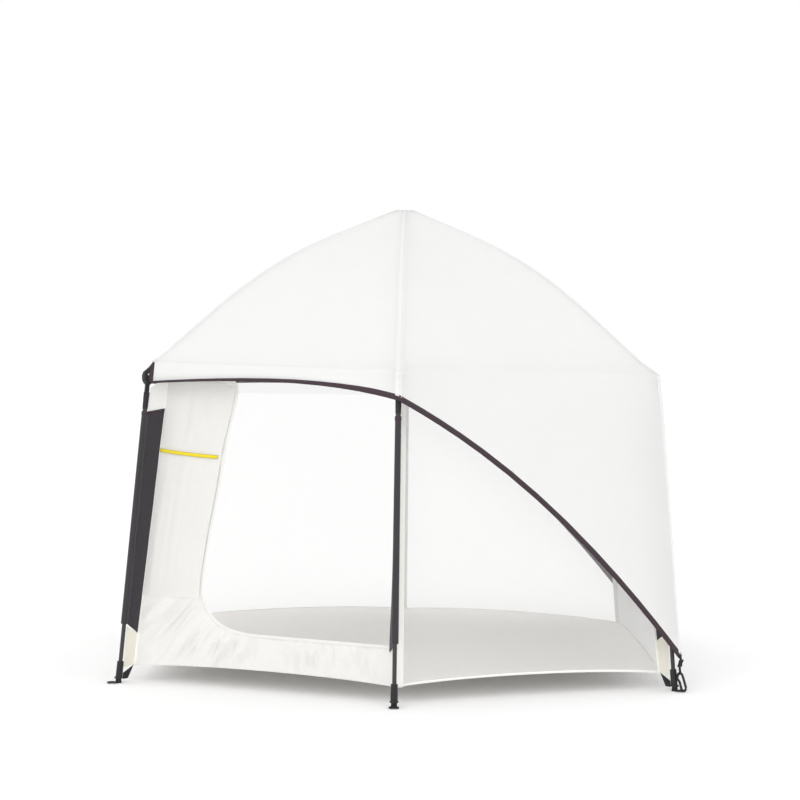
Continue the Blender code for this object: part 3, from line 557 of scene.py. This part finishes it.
def softened(normals, amount):
    """A column's normals with the bend at the eave spread over the rows beside it."""
    out = list(normals)
    for row in range(EAVE_ROW - SOFT_ROWS, len(normals)):
        near = normals[row - SOFT_ROWS : row + SOFT_ROWS + 1]
        mean = normals[EAVE_ROW - SOFT_ROWS] * SOFT_ROWS
        for normal in near:
            mean = mean + normal
        out[row] = normals[row].lerp(mean.normalized(), amount).normalized()
    return out


def fly_columns():
    """Every column of the fly by sector, with the vertex normals of the whole cloth."""
    columns = {start: [fly_column(start, u) for u in SECTOR_SHARES] for start in ORDER}
    rows = LAST_ROW + 1
    per_sector = len(SECTOR_SHARES) - 1
    ring = [column for start in ORDER for column in columns[start][:-1]]
    mesh = lines_mesh("fly_whole", ring, round_lines=True)
    mesh.update()
    normals = [v.normal.copy() for v in mesh.vertices]
    bpy.data.meshes.remove(mesh)
    by_sector = {}
    for s, start in enumerate(ORDER):
        open_start, open_end = (float(corner not in COVERED) for corner in (start, following(start)))
        by_sector[start] = []
        for c, u in enumerate(SECTOR_SHARES):
            first = (s * per_sector + c) % len(ring) * rows
            by_sector[start].append(softened(normals[first : first + rows], mixed(open_start, open_end, u)))
    return columns, by_sector


FLY_COLUMNS, FLY_NORMALS = fly_columns()


def fly_piece(name, start, first, last, top, bottom):
    """Part of the fly between two columns and two rows, shaded as the whole cloth."""
    columns = FLY_COLUMNS[start][first : last + 1]
    normals = FLY_NORMALS[start][first : last + 1]
    rows = [[column[row] for column in columns] for row in range(top, bottom + 1)]
    made = grid(name, rows, FLY)
    custom = [n[row] for row in range(top, bottom + 1) for n in normals]
    if made.data.vertices[0].normal.dot(custom[len(custom) // 2]) < 0:
        made.data.flip_normals()
    made.data.normals_split_custom_set_from_vertices([tuple(n) for n in custom])
    return made, rows


def build_fly():
    """Two roof pieces for each sector, and two side pieces where it is covered, with bound edges."""
    for start in ORDER:
        roof_end = LAST_ROW if start in OPEN_SECTORS else EAVE_ROW
        for corner, first, last in ((start, 0, HALF), (following(start), HALF, 2 * HALF)):
            made, rows = fly_piece(f"fly_roof_{start}_at_{corner}", start, first, last, 0, roof_end)
            fold_to_corner(made, corner, "rib_arm")
            if start == corner == "front":
                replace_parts(made, "fly")
            if start not in OPEN_SECTORS:
                side = f"fly_side_{start}_at_{corner}"
                made, rows = fly_piece(side, start, first, last, EAVE_ROW, LAST_ROW)
                fold_to_corner(made, corner)
            build_binding(start, corner, first, last)


# distance up from the fly's edge, and off its face
BINDING_HALF = ((0.018, 0.0006), (0.01, 0.0013), (-0.002, 0.0016))
BINDING_PROFILE = (*BINDING_HALF, (-0.008, 0.0), *((up, -off) for up, off in reversed(BINDING_HALF)))
BINDING_STEPS = 4


def build_binding(start, corner, first, last):
    """Plum binding folded over the fly's lower edge, one face outside and one inside."""
    first += NOTCH_COLUMNS if first == 0 and start not in COVERED else 0
    last -= NOTCH_COLUMNS if last == 2 * HALF and following(start) not in COVERED else 0
    path = refined([column[-1] for column in FLY_COLUMNS[start][first : last + 1]], BINDING_STEPS)
    normals = refined([n[-2] for n in FLY_NORMALS[start][first : last + 1]], BINDING_STEPS)
    rows = []
    for across, off in BINDING_PROFILE:
        row = []
        for i, point in enumerate(path):
            normal = normals[i].normalized()
            normal = normal if normal.dot(outward(start)) > 0 else -normal
            up = ahead_at(path, i).cross(normal).normalized()
            up = up if up.z > 0 else -up
            row.append(point + up * across + normal * off)
        rows.append(row)
    made = grid(f"fly_binding_{start}_at_{corner}", rows, PLUM)
    if start in OPEN_SECTORS:
        fold_to_corner(made, corner, "rib_arm")
    else:
        fold_to_corner(made, corner)


# half the width of the fly's corner tapes in steps, and how far the tapes stand off
TAPE_STEPS = 3
SEAM_STEP = 0.0055
SEAM_OFF = 0.0018
SEAM_SHORT = 0.016
RIDGE_TAPE_HALF = 0.0175
RIDGE_TAPE_OFF = 0.0016
RIDGE_TAPE_CROWN = 0.0004


def build_side_seam(corner):
    """A sewn tape down the fly's corner below the eave, ending a little above its lower edge."""
    left, right = FLY_COLUMNS[preceding(corner)], FLY_COLUMNS[corner]
    rows = []
    for row in range(EAVE_ROW, LAST_ROW + 1):
        centre = right[0][row]
        if row == LAST_ROW:
            above = right[0][row - 1]
            centre = centre.lerp(above, min(1.0, SEAM_SHORT / (above - centre).length))
        line = []
        for k in range(-TAPE_STEPS, TAPE_STEPS + 1):
            neighbour = right[3][row] if k > 0 else left[-4][row]
            towards = (neighbour - right[0][row]).normalized()
            line.append(centre + towards * abs(k) * SEAM_STEP + direction(corner) * SEAM_OFF)
        rows.append(line)
    made = grid(f"side_seam_{corner}", rows, RIDGE)
    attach(made, f"leg_upper_{corner}")


PATCH_PUFF = 0.006


def build_corner_patch(corner):
    """Plum reinforcement at a corner that the fly leaves open, from its ridge down over the eave hub."""
    ridge_r, ridge_z = fly_ridge(corner, 0.985)
    hub_r, hub_z = rib_point(1.0)[:2]
    for name, side in (("left", -1), ("right", 1)):
        top = polar(corner, ridge_r, ridge_z + 0.0015)
        out = polar(corner, hub_r - 0.004, hub_z + 0.015, side * 0.001)
        low_out = polar(corner, hub_r - 0.014, hub_z - 0.04, side * 0.0145)
        low_in = polar(corner, fly_wall_r(corner, VALANCE_Z) - 0.012, VALANCE_Z - 0.004, side * 0.034)
        rows = []
        for t in shares(8):
            a = top.lerp(low_in, t)
            b = mixed(mixed(top, out, min(1.0, 2 * t)), low_out, max(0.0, 2 * t - 1))
            puff = tangent(corner) * side * PATCH_PUFF * arch(t)
            rows.append([a.lerp(b, k / 6) + puff * arch(k / 6) for k in range(7)])
        made = grid(f"corner_patch_{corner}_{name}", rows, PLUM)
        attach(made, f"rib_arm_{corner}")


# a round cap on each side of an eave hub: place (r, z), half the distance between the two, and size
RIVET_AT = (1.5205, 1.4275)
RIVET_BESIDE = 0.014
RIVET_RADIUS = 0.0045
RIVET_RISE = 0.0016
RIVET_SIDES = 20
# share of the radius, and share of the rise
RIVET_PROFILE = ((1.0, 0.0), (1.0, 0.5), (0.8, 0.85), (0.45, 1.0), (0.0, 1.02))


def build_rivet(corner, face):
    """A round cap on a hub's side, facing along the corner's tangent or against it."""
    rings = []
    for share, height in RIVET_PROFILE:
        ring = []
        for k in range(RIVET_SIDES):
            a = 2 * math.pi * k / RIVET_SIDES
            around = direction(corner) * math.cos(a) + Vector((0, 0, math.sin(a)))
            centre = polar(corner, *RIVET_AT, face * RIVET_BESIDE + face * RIVET_RISE * height)
            ring.append(centre + around * RIVET_RADIUS * share)
        rings.append(ring)
    made = ringed(f"hub_rivet_{corner}_{face + 1}", rings, BRIGHT, closed=False)
    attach(made, f"rib_arm_{corner}")


def build_ridges():
    """A sewn tape along each ridge of the roof."""
    for corner in ORDER:
        left, right = FLY_COLUMNS[preceding(corner)], FLY_COLUMNS[corner]
        rows = []
        for row in range(ROOF_ROWS + 1):
            at = row if row < ROOF_ROWS else EAVE_ROW
            centre = right[0][at]
            normal = FLY_NORMALS[corner][0][at]
            normal = normal if normal.z > 0 or normal.dot(direction(corner)) > 0 else -normal
            widen = min(1.0, (row + 1) / ROOF_ROWS * 4)
            line = []
            for k in range(-TAPE_STEPS, TAPE_STEPS + 1):
                beside = RIDGE_TAPE_HALF * k / TAPE_STEPS * widen
                away = (right[2][at] if k > 0 else left[-3][at]) - centre
                off = RIDGE_TAPE_OFF - RIDGE_TAPE_CROWN * abs(k) / TAPE_STEPS
                line.append(centre + away / away.dot(tangent(corner)) * beside + normal * off)
            rows.append(line)
        rows = [list(column) for column in zip(*rows)]
        made = grid(f"ridge_tape_{corner}", rows, RIDGE)
        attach(made, f"rib_arm_{corner}")


# ---- walls
WALL_TOP_Z = 1.452
WALL_ROWS = 24
# shares along a wall near its two corners
WALL_ENDS = (0.001, 0.999)
WALL_LENGTH = 1.3
WALL_SAG = 0.012
# how far the walls' hem and corner tapes stand off, and their sizes
HEM_OFF = 0.0012
HEM_HEIGHT = 0.01
CORNER_TAPE_OFF = 0.0016
CORNER_TAPE_STEPS = 4
# widths of a corner tape on the wall before the corner and on the wall after it
TAPE_WIDTHS = {"front": (0.008, 0.04), "left_front": (0.012, 0.012), "right_front": (0.012, 0.012)}
TAPE_WIDTHS_ELSEWHERE = (0.024, 0.024)
REPLACED_WALLS = {
    "front": "wall_front_right",
    "right_front": "wall_right",
    "right_rear": "wall_rear_right",
    "rear": "wall_rear_left",
    "left_rear": "wall_left",
}


def wall_point(start, s, z, out=0.0):
    """A point on the wall between a corner and the next, at a share s along it."""
    place = (wall_r(z), z)
    return between(start, s, place, place) + outward(start) * out


def sag(s, z):
    """How far a wall stands in from its plane."""
    t = (z - FLOOR_Z) / (WALL_TOP_Z - FLOOR_Z)
    return -WALL_SAG * arch(min(1, max(0, t))) * arch(s)


BOTTOM_Z = 0.074
BOTTOM_LIFT = 0.028


def bottom_z(s):
    """Bottom edge of a wall: low at the corners and lifted between them."""
    return BOTTOM_Z + BOTTOM_LIFT * (4 * s * (1 - s)) ** 0.75


def mesh_half(start, corner, low, high):
    """Half of a mesh wall, with a cream hem at its foot."""
    steps = [mixed(low, high, t) for t in shares(12)]
    rows = []
    for t in shares(WALL_ROWS):
        heights = [mixed(bottom_z(s), WALL_TOP_Z, t) for s in steps]
        rows.append([wall_point(start, s, z, sag(s, z)) for s, z in zip(steps, heights)])
    made = grid(f"mesh_wall_{start}_at_{corner}", rows, SIDE_MESH if start == "right_front" else MESH)
    fold_to_corner(made, corner)
    hem = []
    for k in range(4):
        rise = HEM_HEIGHT * k / 3 - 0.001
        hem.append([wall_point(start, s, bottom_z(s) + rise, sag(s, 0.09) + HEM_OFF) for s in steps])
    bound = grid(f"wall_hem_{start}_at_{corner}", hem, TAPE)
    fold_to_corner(bound, corner)
    return made


def build_corner_tape(corner):
    """Tape that joins two walls, folded round their corner."""
    before = preceding(corner)
    widths = TAPE_WIDTHS.get(corner, TAPE_WIDTHS_ELSEWHERE)
    rows = []
    for t in shares(WALL_ROWS):
        z = mixed(bottom_z(0.0), WALL_TOP_Z - 0.004, t)
        line = []
        for k in range(-CORNER_TAPE_STEPS, CORNER_TAPE_STEPS + 1):
            share = widths[0 if k < 0 else 1] * abs(k) / CORNER_TAPE_STEPS / WALL_LENGTH
            point = wall_point(before, 1 - share, z) if k < 0 else wall_point(corner, share, z)
            line.append(point + direction(corner) * CORNER_TAPE_OFF)
        rows.append(line)
    made = grid(f"corner_tape_{corner}", rows, TAPE)
    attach(made, f"leg_upper_{corner}")


def build_walls():
    """Five mesh walls in halves, and the tapes at their corners."""
    for start, cad_node in REPLACED_WALLS.items():
        left = mesh_half(start, start, WALL_ENDS[0], 0.5)
        mesh_half(start, following(start), 0.5, WALL_ENDS[1])
        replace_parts(left, cad_node)
    for corner in ORDER:
        build_corner_tape(corner)


# ---- doorway side
DOOR_WALL = "left_front"
# the doorway's far edge from its top, and the turn at its foot, as (share along the wall, height)
DOOR_TOP = ((0.262, 1.41), (0.3, 1.392), (0.314, 1.34))
DOOR_EDGE = DOOR_TOP + ((0.288, 1.13), (0.268, 0.9), (0.249, 0.7), (0.239, 0.5))
DOOR_TURN = ((0.248, 0.4), (0.29, 0.322), (0.35, 0.274), (0.43, 0.252))
DOOR_NEAR = 0.004
DOOR_FAR = 0.996
SILL_Z = 0.248
SILL_FALL = 0.005
SKIRT_Z = 0.076
SKIRT_LIFT = 0.022
WRINKLE_DEPTH = 0.02
ZIP_OFF = 0.0014
ZIP_STEP = 0.0045
ZIP_CROWN = 0.0012


def curved(before, a, b, after, t):
    """A coordinate at a share t between a and b, on a smooth curve through all four."""
    turn = 2 * before - 5 * a + 4 * b - after
    bend = 3 * a - before - 3 * b + after
    return 0.5 * (2 * a + (b - before) * t + turn * t**2 + bend * t**3)


def smooth_path(points, per_leg):
    """A rounded path through points, with even steps on each leg."""
    out = []
    for i in range(len(points) - 1):
        four = (points[max(i - 1, 0)], points[i], points[i + 1], points[min(i + 2, len(points) - 1)])
        for k in range(per_leg):
            out.append(tuple(curved(*values, k / per_leg) for values in zip(*four)))
    out.append(tuple(points[-1]))
    return out


def noise_at(x, y, z):
    """Smooth noise about zero, the same at every run."""
    return noise.noise(Vector((x, y, z)))


def wrinkled(name, inner, outer, across):
    """Opaque cloth between two edges given as (s, z), with wrinkles that run from edge to edge."""
    rows = []
    for w in shares(across):
        row = []
        for j, (p, q) in enumerate(zip(inner, outer)):
            s, z = mixed(p[0], q[0], w), mixed(p[1], q[1], w)
            fold = noise_at(j * 0.31, w * 0.8, 3.1) + 0.6 * noise_at(j * 0.75, w * 1.6, 7.7)
            crest = 0.3 - abs(noise_at(j * 0.24 + 1.2 * w, w * 0.9, 5.3))
            fold += 1.5 * crest * eased((0.37 - p[1]) / 0.1)
            hold = arch(w) ** 0.6 * eased(min(j, len(inner) - 1 - j) / 8)
            row.append(wall_point(DOOR_WALL, s, z, sag(s, z) + WRINKLE_DEPTH * fold * hold))
        rows.append(row)
    return grid(name, rows, CREAM), rows


def skirt_bottom(s):
    """Lower edge of the doorway side."""
    return SKIRT_Z + SKIRT_LIFT * (4 * s * (1 - s)) ** 0.8


def hang_by_door(made, corner):
    """The piece moves with a corner of the doorway side."""
    fold_to_corner(made, corner)


def build_door_side():
    """Opaque cloth beside and below the doorway, with the doorway's zip and the door's cloth."""
    edge = smooth_path(DOOR_EDGE + DOOR_TURN + ((0.5, SILL_Z),), 12)
    count = len(edge)
    turn = int(count * 0.6)
    outer = []
    for j in range(count):
        if j <= turn:
            outer.append((DOOR_NEAR, mixed(WALL_TOP_Z, skirt_bottom(DOOR_NEAR), j / turn)))
        else:
            s = mixed(DOOR_NEAR, 0.5, (j - turn) / (count - 1 - turn))
            outer.append((s, skirt_bottom(s)))
    steps = [mixed(0.5, DOOR_FAR, t) for t in shares(56)]
    sill = [(s, SILL_Z - SILL_FALL * (s - 0.5) / (DOOR_FAR - 0.5)) for s in steps]
    hem = [(s, skirt_bottom(s)) for s in steps]
    left, rows = wrinkled("door_side_cloth_left", edge, outer, 20)
    hang_by_door(left, DOOR_WALL)
    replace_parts(left, "wall_front_left")
    right, rows = wrinkled("door_side_cloth_right", sill, hem, 12)
    hang_by_door(right, "front")
    build_door_zip("left", edge, DOOR_WALL)
    build_door_zip("right", sill, "front")
    build_door_cloth()
    build_door_tie()


def build_door_zip(name, path, corner):
    """Narrow zip tape along part of the doorway's edge."""
    normal = outward(DOOR_WALL)
    centre = [wall_point(DOOR_WALL, s, z, sag(s, z) + ZIP_OFF) for s, z in path]
    rows = []
    for k in range(5):
        row = []
        for i, point in enumerate(centre):
            across = normal.cross(ahead_at(centre, i)).normalized()
            crown = ZIP_CROWN * arch(k / 4)
            row.append(point + across * ZIP_STEP * (k - 2) + normal * crown)
        rows.append(row)
    made = grid(f"door_zip_{name}", rows, ZIP)
    hang_by_door(made, corner)


def door_edge_share(z):
    """Share along the wall of the doorway's far edge at a height."""
    for (s_high, z_high), (s_low, z_low) in zip(DOOR_EDGE, DOOR_EDGE[1:]):
        if z >= z_low:
            return mixed(s_low, s_high, (z - z_low) / (z_high - z_low))
    return DOOR_EDGE[-1][0]


# the gathered door: heights, the rounded top corner, and the pinch under its tie
DOOR_CLOTH_Z = (0.4, 1.392)
DOOR_CLOTH_TURN = 0.045
DOOR_CLOTH_GAP = 0.006
DOOR_CLOTH_OFF = 0.0022
DOOR_COLUMNS = 56
DOOR_LINES = 44
PINCH_Z = 1.066
PINCH_SPREAD = 0.1
PINCH_IN = 0.006
TIE_END = 0.26
TIE_WIDTH = 0.016
TIE_THICKNESS = 0.0012


def build_door_cloth():
    """The door's cloth gathered back beside the doorway, in soft vertical folds."""
    rows = []
    for t in shares(DOOR_LINES):
        z = mixed(*DOOR_CLOTH_Z, t)
        pinch = math.exp(-(((z - PINCH_Z) / PINCH_SPREAD) ** 2))
        turn = max(0.0, (z - DOOR_CLOTH_Z[1]) / DOOR_CLOTH_TURN + 1)
        right = door_edge_share(z) - DOOR_CLOTH_GAP - PINCH_IN * pinch
        right -= 0.036 * (1 - math.sqrt(max(0.0, 1 - turn * turn)))
        full = (1 - 0.45 * pinch) * mixed(0.25, 1.0, eased(t / 0.12))
        full *= mixed(1.0, 0.4, eased((t - 0.93) / 0.07))
        row = []
        for u in shares(DOOR_COLUMNS):
            wave = noise_at(u * 6.0 + 0.4 * noise_at(u * 2, z * 1.5, 4), z * 0.9, 1.7)
            wave += 0.45 * noise_at(u * 13.0, z * 1.6, 9.2)
            ridge = (0.0085 + 0.0048 * wave) * full
            lip = arch(u) ** 0.35
            low = 0.004 * noise_at(u * 9, 0.3, 5) * math.exp(-((t / 0.08) ** 2))
            s = mixed(DOOR_NEAR, right, u)
            row.append(wall_point(DOOR_WALL, s, z + low, DOOR_CLOTH_OFF + sag(s, z) * 0.3 + ridge * lip))
        rows.append(row)
    made = grid("door_cloth", rows, CREAM)
    hang_by_door(made, DOOR_WALL)
    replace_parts(made, "door_panel")


def build_door_tie():
    """Webbing round the gathered door."""
    rows = []
    for k in range(5):
        row = []
        for u in shares(40):
            s = mixed(DOOR_NEAR, TIE_END, u)
            z = mixed(1.075, 1.05, u) - 0.003 * arch(u) + TIE_WIDTH * (k / 4 - 0.5)
            bulge = 0.0118 * arch(min(1.0, u * 1.02)) ** 0.25 + 0.0012 * math.sin(9 * u)
            row.append(wall_point(DOOR_WALL, s, z, 0.003 + bulge - 0.0006 * abs(k - 2)))
        rows.append(row)
    tie = grid("door_tie_webbing", rows, YELLOW, TIE_THICKNESS)
    hang_by_door(tie, DOOR_WALL)
    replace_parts(tie, "door_tie")


# ---- floor
FLOOR_RINGS = 26
FLOOR_SPOKES = 72
FLOOR_GAP = 0.002
FLOOR_OFF = 0.0006


def build_floor():
    """One ground sheet with a few soft creases, its edge on the walls' lower edge."""
    rows = []
    for t in shares(FLOOR_RINGS)[1:]:
        row = []
        for turn in shares(FLOOR_SPOKES):
            sector = min(5, int(turn * 6))
            u = turn * 6 - sector
            edge = (wall_r(FLOOR_Z) - FLOOR_GAP, 0.0)
            p = between(ORDER[sector], u, edge, edge) * t
            crease = 0.003 * noise_at(p.x * 2.2, p.y * 2.2, 0.5)
            crease += 0.0035 * abs(noise_at(p.x * 1.1 + 5, p.y * 3.1, 2.5))
            lift = (bottom_z(u) - BOTTOM_Z) * t**12
            drawn = outward(ORDER[sector]) * -0.006 * arch(u) * t**12
            row.append(Vector((p.x, p.y, FLOOR_Z + FLOOR_OFF + crease * (1 - t**6) + lift)) + drawn)
        rows.append(row)
    made = grid("groundsheet", rows, GROUNDSHEET)
    welded(made.data, 0.0002, close=0.3)
    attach(made, "hub")
    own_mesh(made)
    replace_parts(made, "floor")


# ---- cloth at the legs
SLEEVE_FROM, SLEEVE_TO = 0.142, 1.13
# sizes at the sleeve's upper and lower end
SLEEVE_RADIUS = (0.0136, 0.0158)
FIN_REACH = (0.107, 0.078)
FIN_DROP = (-0.025, 0.04)
FIN_LEAN = 0.024
FIN_HALF = 0.0009
FIN_SEAM = 0.0006
FIN_BILLOW = 0.0022
FIN_LINES = 34
BOUND_LINES = 4


def fin_line(corner, t, puff=0.0):
    """Points round the sleeve and its fin at a share t of its length: fin, tube and back."""
    radius = mixed(*SLEEVE_RADIUS, t)
    reach = mixed(*FIN_REACH, t)
    row = []
    for k in range(6):
        row.append((mixed(reach, radius, k / 5), -FIN_HALF - FIN_SEAM * arch(k / 5) - puff))
    for k in range(1, 12):
        a = math.radians(30 * k)
        row.append(((radius + puff) * math.cos(a), -(radius + puff) * math.sin(a)))
    for k in range(6):
        seam = FIN_SEAM * arch(1 - k / 5)
        row.append((mixed(radius, reach, k / 5), FIN_HALF + seam + puff))
    line = []
    for inward, beside in row:
        share = max(0.0, (inward - radius) / (reach - radius))
        drop = share * mixed(*FIN_DROP, t)
        beside -= share * t * (FIN_LEAN if corner == "front" else 0.0)
        billow = share * FIN_BILLOW * noise_at(t * 9, inward * 30, CORNERS[corner])
        line.append(down_leg(corner, mixed(SLEEVE_FROM, SLEEVE_TO, t) + drop, inward, beside + billow))
    return line


def build_fin(corner):
    """Dark sleeve round the upper leg, with a flat fin towards the walls' corner and a bound top edge."""
    rows = [fin_line(corner, t) for t in shares(FIN_LINES)]
    made = grid(f"fin_{corner}", rows, FIN)
    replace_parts(made, f"sleeve_{corner}")
    bound = [fin_line(corner, 0.018 * i / BOUND_LINES - 0.001, 0.0011) for i in range(BOUND_LINES + 1)]
    edge = grid(f"fin_binding_{corner}", bound, PLUM)
    for piece, points, rest in ((made, rows, f"upper_leg_{corner}"), (edge, bound, made.name)):
        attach(piece, f"leg_upper_{corner}")
        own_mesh(piece)


PATCH_STEPS = 8


def quad_sheet(name, a, b, c, d, surface, ripple):
    """A small cloth patch between four corners, slightly hollow."""
    normal = (b - a).cross(d - a).normalized()
    rows = []
    for v in shares(PATCH_STEPS):
        row = []
        for u in shares(PATCH_STEPS):
            dip = ripple * arch(u) * arch(v)
            row.append(a.lerp(b, u).lerp(d.lerp(c, u), v) + normal * dip)
        rows.append(row)
    return grid(name, rows, surface), rows


# cloth at each corner: finish, slot, what it rests on, hollow, share kept as the leg slides in, and
# its four points as (line that it starts from, distance outwards from the line, height)
CORNER_CLOTH = {
    "upper_gusset": (
        *(THIN, "door_fabric", "upper_leg", 0.001, None),
        ((wall_r, 0.002, 1.43), (leg_r, -0.016, 1.362), (leg_r, -0.016, 1.235), (wall_r, 0.002, 1.255)),
    ),
    "lower_gusset": (
        *(GUSSET, "door_fabric", "lower_leg", 0.001, 0.2),
        ((wall_r, 0.002, 0.226), (leg_r, -0.014, 0.262), (leg_r, -0.019, 0.07), (wall_r, 0.002, 0.076)),
    ),
    "foot_strap": (
        *(BLACK_WEB, "black_webbing", "foot", 0.002, 0.25),
        ((wall_r, 0.001, 0.079), (leg_r, -0.019, 0.045), (leg_r, -0.02, 0.016), (wall_r, 0.024, 0.018)),
    ),
}


def build_corner_cloth(corner):
    """Cream gussets above and below the fin, and the webbing from the fabric's corner to the foot."""
    for name, (surface, slot, rest, ripple, keep, places) in CORNER_CLOTH.items():
        points = [polar(corner, line(z) + off, z) for line, off, z in places]
        made, rows = quad_sheet(f"{name}_{corner}", *points, surface, ripple)
        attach(made, f"leg_upper_{corner}")
        if keep:
            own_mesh(made)


WEB_WIDTH = 0.019
WEB_THICKNESS = 0.0014
WEB_STEPS = 6
WEB_ROUNDS = 6
BAR_SIDES = 8
SLIDER_RADIUS = 0.005
HOOK_RADIUS = 0.0058
# outline of the hook, as (distance from the foot, height)
HOOK_FRONT = ((0.018, 0.082), (0.034, 0.084), (0.043, 0.07), (0.056, 0.034), (0.06, 0.018))
HOOK_BACK = ((0.053, 0.007), (0.04, 0.009), (0.034, 0.02), (0.026, 0.044), (0.014, 0.06))
HOOK = HOOK_FRONT + HOOK_BACK


def webbing(name, path, across):
    """A flat strap along a rounded path."""
    fine = refined(path, WEB_STEPS)
    for _ in range(WEB_ROUNDS):
        fine = [fine[0]] + [(a + b * 2 + c) / 4 for a, b, c in zip(fine, fine[1:], fine[2:])] + [fine[-1]]
    rows = [[p + across * WEB_WIDTH * (k / 4 - 0.5) for p in fine] for k in range(5)]
    return grid(name, rows, BLACK_WEB, WEB_THICKNESS), rows


def closed_bar(name, path, radius):
    """A round plastic bar along a closed path in one plane."""
    rings = []
    for i, point in enumerate(path):
        along = (path[(i + 1) % len(path)] - path[i - 1]).normalized()
        flat = along.orthogonal() if abs(along.z) > 0.999 else along.cross(Vector((0, 0, 1)))
        across = flat.normalized()
        third = along.cross(across).normalized()
        turns = [2 * math.pi * k / BAR_SIDES for k in range(BAR_SIDES)]
        rings.append([point + (across * math.cos(a) + third * math.sin(a)) * radius for a in turns])
    return ringed(name, rings, PLASTIC, closed=True)


def build_fly_strap(corner):
    """Webbing from the fly's lower corner through a slider to a hook on the foot's ring."""
    high_r = fly_wall_r(corner, HEM_LOW_Z)
    foot_r = leg_r(0.0)
    path = [
        polar(corner, high_r - 0.002, HEM_LOW_Z + 0.014),
        polar(corner, high_r + 0.004, 0.14),
        polar(corner, foot_r + 0.024, 0.11),
        polar(corner, foot_r + 0.03, 0.078),
    ]
    strap, rows = webbing(f"fly_strap_web_{corner}", path, tangent(corner))
    slider = [
        polar(corner, high_r + mixed(0.004, -0.003, k), mixed(0.144, 0.118, k), side)
        for k, side in ((0, -0.014), (0, 0.014), (1, 0.014), (1, -0.014))
    ]
    buckle = closed_bar(f"fly_strap_slider_{corner}", slider, SLIDER_RADIUS)
    outline = [polar(corner, foot_r + r, z) for r, z in smooth_path(HOOK + HOOK[:1], 4)[:-1]]
    hook = closed_bar(f"fly_strap_hook_{corner}", outline, HOOK_RADIUS)
    for piece in (strap, buckle, hook):
        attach(piece, f"leg_upper_{corner}")
    return strap


# ---- studio
STUDIO_COLOUR = (0.975, 0.975, 0.975)
STUDIO_HALF = 400.0
SKY_STRENGTH = 1.02
# name, way towards the light, strength and spread in degrees
SUNS = (("key", (-0.3, -0.88, 0.34), 0.86, 70.0), ("top", (0.15, -0.1, 1.0), 0.06, 80.0))


def build_stage():
    """Pale floor and soft lights."""
    ground = new_material("studio_floor", STUDIO_COLOUR, 0.95, specular=0.1)
    place = node(ground, "ShaderNodeTexCoord").outputs["Object"]
    wire(ground, tinted(ground, STUDIO_COLOUR, 0.01, cloud(ground, place, 1.5, 3.0)), "Base Color")
    steps = [mixed(-STUDIO_HALF, STUDIO_HALF, t) for t in shares(8)]
    grid("stage_floor", [[Vector((x, y, 0)) for x in steps] for y in steps], ground)
    world = bpy.data.worlds.new("studio")
    world.use_nodes = True
    world.node_tree.nodes["Background"].inputs["Color"].default_value = (1.0, 1.0, 1.0, 1.0)
    world.node_tree.nodes["Background"].inputs["Strength"].default_value = SKY_STRENGTH
    bpy.context.scene.world = world
    for name, towards, power, spread in SUNS:
        light = bpy.data.lights.new(name, "SUN")
        light.energy = power
        light.angle = math.radians(spread)
        lamp = linked(name, light)
        lamp.location = Vector(towards) * 8
        lamp.rotation_euler = Vector(towards).to_track_quat("Z", "Y").to_euler()
    bpy.context.scene.view_settings.view_transform = "Standard"


CAMERA_TURN, CAMERA_LEAN = 0.012, 0.0132
CAMERA_DISTANCE, CAMERA_HEIGHT = 10.5019, 1.3779


def build_camera():
    """A long lens at eye height in front, turned and leant a little as in the photo."""
    camera = bpy.data.cameras.new("camera")
    camera.sensor_width = 36.0
    camera.lens = 92.28
    camera.shift_x = -0.00345
    camera.shift_y = -0.0145
    camera.clip_end = 900.0
    x, y = CAMERA_DISTANCE * math.sin(CAMERA_TURN), -CAMERA_DISTANCE * math.cos(CAMERA_TURN)
    upright = Matrix.Rotation(CAMERA_TURN, 4, "Z") @ Matrix.Rotation(math.pi / 2, 4, "X")
    turned = upright @ Matrix.Rotation(CAMERA_LEAN, 4, "Z")
    holder = linked("camera", camera)
    holder.matrix_world = Matrix.Translation(Vector((x, y, CAMERA_HEIGHT))) @ turned
    bpy.context.scene.camera = holder


def finish_nodes():
    """Procedural finishes for the CAD nodes that stay in view."""
    finishes = {"coated_steel": STEEL, "bright_steel": BRIGHT, "black_webbing": BLACK_WEB}
    for made in NODES.values():
        if made.hide_render:
            continue
        for place in made.material_slots:
            base = place.material.name.split(".")[0] if place.material else ""
            place.material = finishes.get(base, PLASTIC)


build_stage()
build_camera()
build_fly()
build_ridges()
for corner_name in ORDER:
    if corner_name in COVERED:
        build_side_seam(corner_name)
    else:
        build_corner_patch(corner_name)
    build_rivet(corner_name, -1)
    build_rivet(corner_name, 1)
build_walls()
build_door_side()
build_floor()
for corner_name in ORDER:
    build_fin(corner_name)
    build_corner_cloth(corner_name)
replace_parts(build_fly_strap("right_front"), "fly_strap")
build_fly_strap("right_rear")
finish_nodes()
